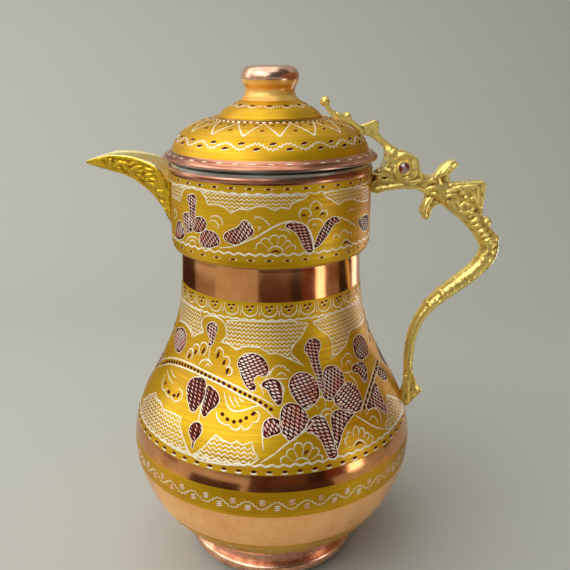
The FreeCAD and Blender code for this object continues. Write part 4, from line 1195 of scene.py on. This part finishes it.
# Eyes: red glass stones with cut facets, each held in a rolled brass bezel on the dragon's cheeks.
# Red glass: deep and clear, with a depth of colour that changes over about 2 mm.
ruby = mottled("red_cut_glass", (450, 450, 450, 1.0), (0.4, "#4A0608", 0.65, "#8E1416"),
               {"Roughness": 0.06, "IOR": 2.4, "Specular IOR Level": 1.0})
eye_low, eye_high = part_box("eye_stones")
eye_middle = ((eye_low[0] + eye_high[0]) / 2, (eye_low[2] + eye_high[2]) / 2)
stone_root = -eye_low[1] - 0.0024
stone_radius = 0.0029
bezel_root = -eye_low[1] - 0.0013
bezel_radius = 0.0030
bezel_wire = 0.0005
stones = bmesh.new()
for side in (-1, 1):
    corners = bmesh.ops.create_circle(stones, segments=8, radius=stone_radius, cap_ends=True)["verts"]
    face = corners[0].link_faces[0]
    for rise, share in ((0.0012, 0.92), (0.0009, 0.4)):
        lift = bmesh.ops.extrude_face_region(stones, geom=[face])
        raised = new_corners(lift)
        bmesh.ops.translate(stones, verts=raised, vec=(0, 0, rise))
        bmesh.ops.scale(stones, verts=raised, vec=(share, share, 1))
        face = [part for part in lift["geom"] if isinstance(part, bmesh.types.BMFace)][0]
        corners += raised
    for vertex in set(corners):
        vertex.co = Vector((eye_middle[0] + vertex.co.x, side * (stone_root + vertex.co.z),
                            eye_middle[1] + vertex.co.y))
bmesh.ops.recalc_face_normals(stones, faces=stones.faces)
show("eye_stones_cut", stones, [ruby], "pot", ["eye_stones"], 5)


def spun_across(bm, profiles, middle):
    """Spins profiles about a line across the jug, makes them one and moves them to their middle."""
    for profile in profiles:
        bmesh.ops.spin(bm, geom=profile, cent=(0, 0, 0), axis=(0, 1, 0), angle=math.tau, steps=32,
                       use_merge=True)
    bmesh.ops.remove_doubles(bm, verts=bm.verts, dist=1e-7)
    bmesh.ops.translate(bm, verts=bm.verts, vec=middle)
    bmesh.ops.recalc_face_normals(bm, faces=bm.faces)


bezels = bmesh.new()
profiles = []
for side in (-1, 1):
    wire = bmesh.ops.create_circle(bezels, segments=8, radius=bezel_wire)["verts"]
    for vertex in wire:
        vertex.co = Vector((bezel_radius + vertex.co.x, side * bezel_root + vertex.co.y, 0))
    profiles.append(wire + list({edge for vertex in wire for edge in vertex.link_edges}))
spun_across(bezels, profiles, (eye_middle[0], 0, eye_middle[1]))
show("eye_bezels", bezels, [handle_brass], "pot", [], 60)

# Studs, roves and hinge pin: drawn brass wire, cut to length, riveted over washers and peened.
# The studs and roves show as the solids are; the pin has domed heads on both sides of the clevis.


def dress(names, finish):
    """Gives a finish to CAD nodes that show as they are."""
    for name in names:
        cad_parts[name].data.materials.clear()
        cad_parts[name].data.materials.append(finish)


wire_brass = cast_brass("drawn_brass", "#D9B45A", "#A87C30", 0.22, 0.34, 0.85)
dress(("handle_studs", "handle_roves"), wire_brass)
pin_low, pin_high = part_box("hinge_pin")
pin_middle = ((pin_low[0] + pin_high[0]) / 2, 0, (pin_low[2] + pin_high[2]) / 2)
pin_head = [(0.0, 6.6), (1.1, 6.5), (1.9, 6.2), (2.28, 5.8), (1.5, 5.8)]
pin_profile = [(reach, -depth) for reach, depth in pin_head] + pin_head[::-1]
pin = bmesh.new()
dots = [pin.verts.new((reach * MM, depth * MM, 0)) for reach, depth in pin_profile]
spun_across(pin, [dots + [pin.edges.new(pair) for pair in zip(dots, dots[1:])]], pin_middle)
show("hinge_pin_peened", pin, [handle_brass], "pot", ["hinge_pin"], 60)

# Lid dome: spun copper with a sloping flange, lacquered gold above the flange and tinned below.
# The flange is bare and its edge is rolled bright.
crown_height = 223.144
crown_hole = 19.0
dome_foot = 46.2
dome_line = smooth_line([(dome_foot, 209.244), (45.3, 211.75), (43.51, 214.53), (38.9, 218.97),
                         (32.76, 221.9), (27.0, crown_height)], 16)
dome_inside = [(43.0, 213.0), (40.6, 216.2), (36.5, 219.2), (31.5, 221.0), (27.0, crown_height - wall)]
flange_roll = [(49.6, 205.9), (49.85, 205.5), (50.3, 205.444), (50.45, 205.8), (50.4, 206.3), (50.1, 206.65),
               (49.5, 206.95), (49.2, 207.35), (48.7, 207.5), (48.4, 207.9), (47.9, 208.0)]


def dome_finish(radius, height, outwards, upwards):
    if upwards < -0.05 or radius < crown_hole + 0.2:
        return 2
    return 1 if radius > dome_foot - 0.05 and height < 209.3 else 0


dome_outline = [(dome_foot, 208.044)] + flange_roll + dome_line
dome_outline += [(crown_hole, crown_height), (crown_hole, crown_height - wall)]
dome_outline += dome_inside[::-1] + [(44.6, 210.4), (45.0, 208.044)]
show("lid_dome_spun", spun(dome_outline, dome_finish), [lacquer, browned, tin], "lid",
     ["lid_dome"])

# Engraving of the lid: a large zigzag with seeds round the crown, a creeping toothed stem below it,
# and wedges round the bare flange.
dome_scale = math.radians(38.0)
dome_wall = (unrolled(dome_line, True), dome_scale)
flange_wall = (unrolled([(49.6, 207.1), (dome_foot, 209.3)], True), dome_scale)
dome_turn = (7.0,)
dome_teeth = 16
dome_bends = 20
seam_dashes = 60
flange_wedges = 40
seam_depth = (0.0, 1.0)
wedge_depth = (0.02, 0.4)
teeth = [([(0.0, 11.6), (11.25, 23.4), (22.5, 11.6)], 0.36, "zigzag"),
         ([(0.9, 12.6), (11.2, 23.0)], 0.24, "zigzag")]
bend = [(toothed(creeping(dome_bends, 6.4, 1.5), dome_scale, 1.9, 0.5), 0.32, "zigzag")]
bend_seeds = []
for share, height in ((0.26, 5.2), (0.76, 7.8)):
    middle = 360 / dome_bends * share
    bend_seeds.append(dash(middle, height, 1.9, 0.75, 0.3))
    bend.append(([(middle - 2.0, height - 0.9), (middle, height - 0.75), (middle + 2.1, height - 0.2)],
                 0.2, "dash"))
tooth_seeds = [dash(along, height, 1.5, 0.6, 0.4)
               for along, height in ((5.6, 20.5), (-4.0, 20.6), (11.25, 15.6))]
lines = all_round(dome_teeth, teeth) + all_round(dome_bends, bend)
seeds = all_round(dome_teeth, tooth_seeds) + all_round(dome_bends, bend_seeds)
seam_lights = all_round(seam_dashes, [([(0.0, 24.5), (1.6, 24.6), (3.2, 24.5)], 0.45, "dash")])
seam_darks = all_round(seam_dashes, [dash(4.5, 24.4, 1.3, 0.45)])
wedges = all_round(flange_wedges, [([(0.0, 1.9), (1.6, 2.15), (3.2, 2.0)], 0.34, "dash")])
engrave("lid_engraved_lines", cut_copper_and_sheen, lines, dome_wall, dome_turn, line_depth, "lid")
engrave("lid_engraved_seeds", maroon, seeds, dome_wall, dome_turn, leaf_depth, "lid")
engrave("lid_seam_lights", cut_copper_and_sheen, seam_lights, dome_wall, once, seam_depth, "lid")
engrave("lid_seam_darks", maroon, seam_darks, dome_wall, once, seam_depth, "lid")
engrave("flange_engraved_wedges", cut_copper_and_sheen, wedges, flange_wall, once, wedge_depth, "lid")

# Lid tier: a small raised cap of lacquered copper soldered on the crown, with scallops cut round it.
# The knob stands on its flat top and the screw comes up through its hole.
tier_top = 231.244
tier_hole = 2.05
tier_line = smooth_line([(23.9, 224.344), (20.6, 227.36), (15.92, 229.95), (13.5, tier_top)], 14)
tier_inside = [(radius - 0.6, height - 1.05) for radius, height in tier_line if height - 1.05 < 229.5]
tier_outline = [(22.9, crown_height), (23.9, crown_height), (24.05, 223.7)] + tier_line
tier_outline += [(tier_hole, tier_top), (tier_hole, 229.6)] + tier_inside[::-1]


def tier_finish(radius, height, outwards, upwards):
    return 1 if upwards < -0.05 or radius < 12.0 else 0


show("lid_tier_spun", spun(tier_outline, tier_finish), [lacquer, tin], "lid",
     ["lid_tier"])
tier_scale = math.radians(19.0)
tier_wall = (unrolled(tier_line, True), tier_scale)
tier_scallops = 14
lines = all_round(tier_scallops, [
    ([(-7.5, 9.3), (-6.0, 7.6), (0.0, 6.8), (6.0, 7.6), (7.5, 9.3)], 0.3, "sweep"),
    ([(9.0, 6.9), (11.0, 8.4), (12.6, 9.4)], 0.3, "dash"),
    ([(13.0, 6.9), (15.0, 8.2), (16.6, 9.0)], 0.26, "dash")])
seeds = all_round(tier_scallops, [([(-4.0, 8.6), (0.0, 8.9), (4.0, 8.6)], 0.6, "dash")])
engrave("tier_engraved_scallops", cut_copper_and_sheen, lines, tier_wall, once, line_depth, "lid")
engrave("tier_engraved_seeds", maroon, seeds, tier_wall, once, leaf_depth, "lid")

# Knob: turned from copper bar, polished on top and lacquered round its waist, screwed on from inside.
# Amber lacquer: thick and dark, so deep orange with a wet gloss, in brush laps about 4 mm tall.
amber = mottled("amber_lacquered_copper", (30, 30, 260, 2.0), (0.35, "#F0A02E", 0.65, "#FFCC6A"),
                {"Metallic": 0.3, "Coat Weight": 0.3, "Coat Roughness": 0.08}, gloss=(0.0, 1.0, 0.26, 0.38))
waist_top = 240.2
knob_line = smooth_line([(13.5, tier_top), (11.7, 234.0), (11.6, 236.0), (12.8, 238.8), (13.4, 241.5),
                         (12.6, 244.2), (10.4, 245.9), (8.8, 246.3)], 8)
knob_edge = (unrolled(knob_line)(waist_top)[0], waist_top)
knob_outline = [point for point in knob_line if point[1] < waist_top] + [knob_edge]
knob_outline += [point for point in knob_line if point[1] > waist_top]


def knob_finish(radius, height, outwards, upwards):
    return 1 if height < waist_top else 0


knob = spun([(0.0, tier_top)] + knob_outline + [(0.0, 246.34)], knob_finish, 96)
show("lid_knob_turned", knob, [satin, amber], "lid", ["lid_knob"])

# Screw, washer, roves and skirt: a brass screw and washer hold the knob and roves hold the lever's rivets.
# A tinned ring below the dome finds the mouth.
dress(("knob_screw", "knob_washer", "lever_roves"), wire_brass)
dress(("lid_skirt",), tin)

# Lever: a cast brass strap that carries the lid to the hinge, with a thumb lug and a ball at its tip.
# Two round-headed rivets hold it on the dome.
cast("lid_lever_cast", "lid_lever", [], [], handle_brass, "lid", 0.3, 5, 0.16)
dress(("lever_rivets",), handle_brass)

# Table and backdrop: one plain pale sweep and a far wall around it, not part of the jug.
# The sweep fades into the far wall from 1 m to 2 m away, out of the lamps' reach.


def staged(name, bm, finish):
    """Makes a thing of the stage from a bmesh."""
    mesh = bpy.data.meshes.new(name)
    bm.to_mesh(mesh)
    bm.free()
    mesh.materials.append(finish)
    thing = bpy.data.objects.new(name, mesh)
    bpy.context.scene.collection.objects.link(thing)
    return thing


wall_tone = linear("#B4B4AB")
black = linear("#000000")
paper, tree, shader = new_finish("pale_paper", {"Roughness": 0.8, "Specular IOR Level": 0.0,
                                                "Emission Color": wall_tone})
place = add_node(tree, "ShaderNodeTexCoord", {})
away = add_node(tree, "ShaderNodeVectorMath", {0: place.outputs["Object"]}, operation="LENGTH")
fade = add_node(tree, "ShaderNodeMapRange",
                {"Value": away.outputs["Value"], "From Min": 1.0, "From Max": 2.0})
tone = add_node(tree, "ShaderNodeValToRGB", {"Fac": fade.outputs["Result"]})
tone.color_ramp.elements[0].color = linear("#BABAB1")
tone.color_ramp.elements[1].color = black
tree.links.new(tone.outputs["Color"], shader.inputs["Base Color"])
tree.links.new(fade.outputs["Result"], shader.inputs["Emission Strength"])
sweep_half = 3.0
sweep = bmesh.new()
edge = [sweep.verts.new((-sweep_half, reach, height)) for reach, height in smooth_line(
    [(-3.0, 0.0), (0.2, 0.0), (0.55, 0.02), (0.75, 0.2), (0.8, 0.6), (0.8, 3.0)], 12)]
for low, high in zip(edge, edge[1:]):
    sweep.edges.new((low, high))
side = bmesh.ops.extrude_edge_only(sweep, edges=sweep.edges)
bmesh.ops.translate(sweep, vec=(2 * sweep_half, 0, 0), verts=new_corners(side))
bmesh.ops.recalc_face_normals(sweep, faces=sweep.faces)
for face in sweep.faces:
    face.smooth = True
staged("backdrop", sweep, paper)
wash = new_finish("pale_wall", {"Base Color": black, "Specular IOR Level": 0.0, "Emission Color": wall_tone,
                                "Emission Strength": 1.0})[0]
sky = bmesh.new()
bmesh.ops.create_uvsphere(sky, u_segments=48, v_segments=24, radius=8.0)
far_wall = staged("far_wall", sky, wash)
far_wall.visible_diffuse = False
far_wall.visible_glossy = False
far_wall.visible_transmission = False
far_wall.visible_shadow = False

# Studio light: a soft ceiling and two windows on the left, and two narrow strips on the right
# that draw upright highlights on the polished neck; low felt cards darken the mirror between them.
world = bpy.data.worlds.new("room")
world.use_nodes = True
world.node_tree.nodes["Background"].inputs["Color"].default_value = linear("#8F9090")
world.node_tree.nodes["Background"].inputs["Strength"].default_value = 0.25
bpy.context.scene.world = world
# Each lamp has its place, what it looks at and its size in metres, its radiance, and whether it fills
for name, spot, aim, size, radiance, fills in (
        ("ceiling", (-0.45, -0.1, 1.3), (-0.1, 0.0, 0.0), (1.9, 1.8), 1.45, True),
        ("front_window", (-0.9, -1.05, 0.95), (0.0, 0.0, 0.12), (2.1, 1.2), 1.9, True),
        ("left_window", (-1.2, 0.1, 0.55), (0.0, 0.0, 0.12), (0.5, 0.8), 2.1, True),
        ("right_strip", (0.330, -0.182, 0.065), (0.0, 0.0, 0.065), (0.08, 0.13), 2.8, False),
        ("back_strip", (0.30, 0.225, 0.065), (0.0, 0.0, 0.065), (0.09, 0.13), 2.4, False)):
    light = bpy.data.lights.new(name, "AREA")
    light.shape = "RECTANGLE"
    light.size, light.size_y = size
    light.energy = radiance * math.pi * size[0] * size[1]
    lamp = bpy.data.objects.new(name, light)
    lamp.location = spot
    lamp.rotation_euler = (Vector(aim) - Vector(spot)).to_track_quat("-Z", "Y").to_euler()
    lamp.visible_camera = False
    lamp.visible_diffuse = fills
    bpy.context.scene.collection.objects.link(lamp)
# Each card goes from one angle round the jug to another; its two edges are a reach and a height in metres
floor = 0.001
low_edge = (0.38, floor)
low_top = (0.38, 0.11)
for name, tone, start, end, near, far, glow in (
        ("front_card", "#6E4A38", -14, 24, low_edge, low_top, 0.0),
        ("corner_card", "#33201A", 24, 37, low_edge, low_top, 0.0),
        ("red_card", "#7A3A26", 37, 53, low_edge, low_top, 0.0),
        ("side_card", "#33261E", 90, 117, low_edge, low_top, 0.0),
        ("right_card", "#8A5C38", 50, 130, (0.6, floor), (0.6, 0.5), 0.0),
        ("left_card", "#5A3A2A", -150, -104, low_edge, low_top, 0.0),
        ("left_mat", "#3A1C12", -56, -20, (0.13, floor), (0.4, floor), 0.0),
        ("right_mat", "#3A1C12", -15, 42, (0.13, floor), (0.4, floor), 0.0),
        ("side_mat", "#84786C", -108, -70, (0.4, floor), (0.67, floor), 0.0),
        ("bounce_board", "#FFFFFF", 6, 48, (0.42, floor), (0.69, floor), 0.6),
        ("apron_board", "#D4CCA8", -90, 90, (0.05, floor / 2), (0.24, floor / 2), 0.0)):
    card = bmesh.new()
    turn = math.radians(start)
    ends = [card.verts.new((reach * math.sin(turn), -reach * math.cos(turn), height))
            for reach, height in (near, far)]
    bmesh.ops.spin(card, geom=ends + [card.edges.new(ends)], cent=(0, 0, 0), axis=(0, 0, 1),
                   angle=math.radians(end - start), steps=8)
    felt = new_finish(name + "_felt", {"Base Color": linear(tone), "Roughness": 0.9,
                                       "Emission Color": linear("#FFFFFF"), "Emission Strength": glow})[0]
    flag = staged(name, card, felt)
    flag.visible_camera = False
    flag.visible_diffuse = False
    flag.visible_shadow = False

# Camera: a phone's lens held a little above the lid, looking down at the front with the handle on the right.
# It stands where the lines of sight for the engraving start.
eye = bpy.data.cameras.new("camera")
eye.sensor_width = 36.0
eye.lens = eye.sensor_width * photo_focus / photo_width
camera = bpy.data.objects.new("camera", eye)
camera.location = camera_place * MM
camera.rotation_euler = (math.pi / 2 - camera_tilt, 0, 0)
bpy.context.scene.collection.objects.link(camera)
bpy.context.scene.camera = camera
bpy.context.scene.view_settings.view_transform = "Standard"
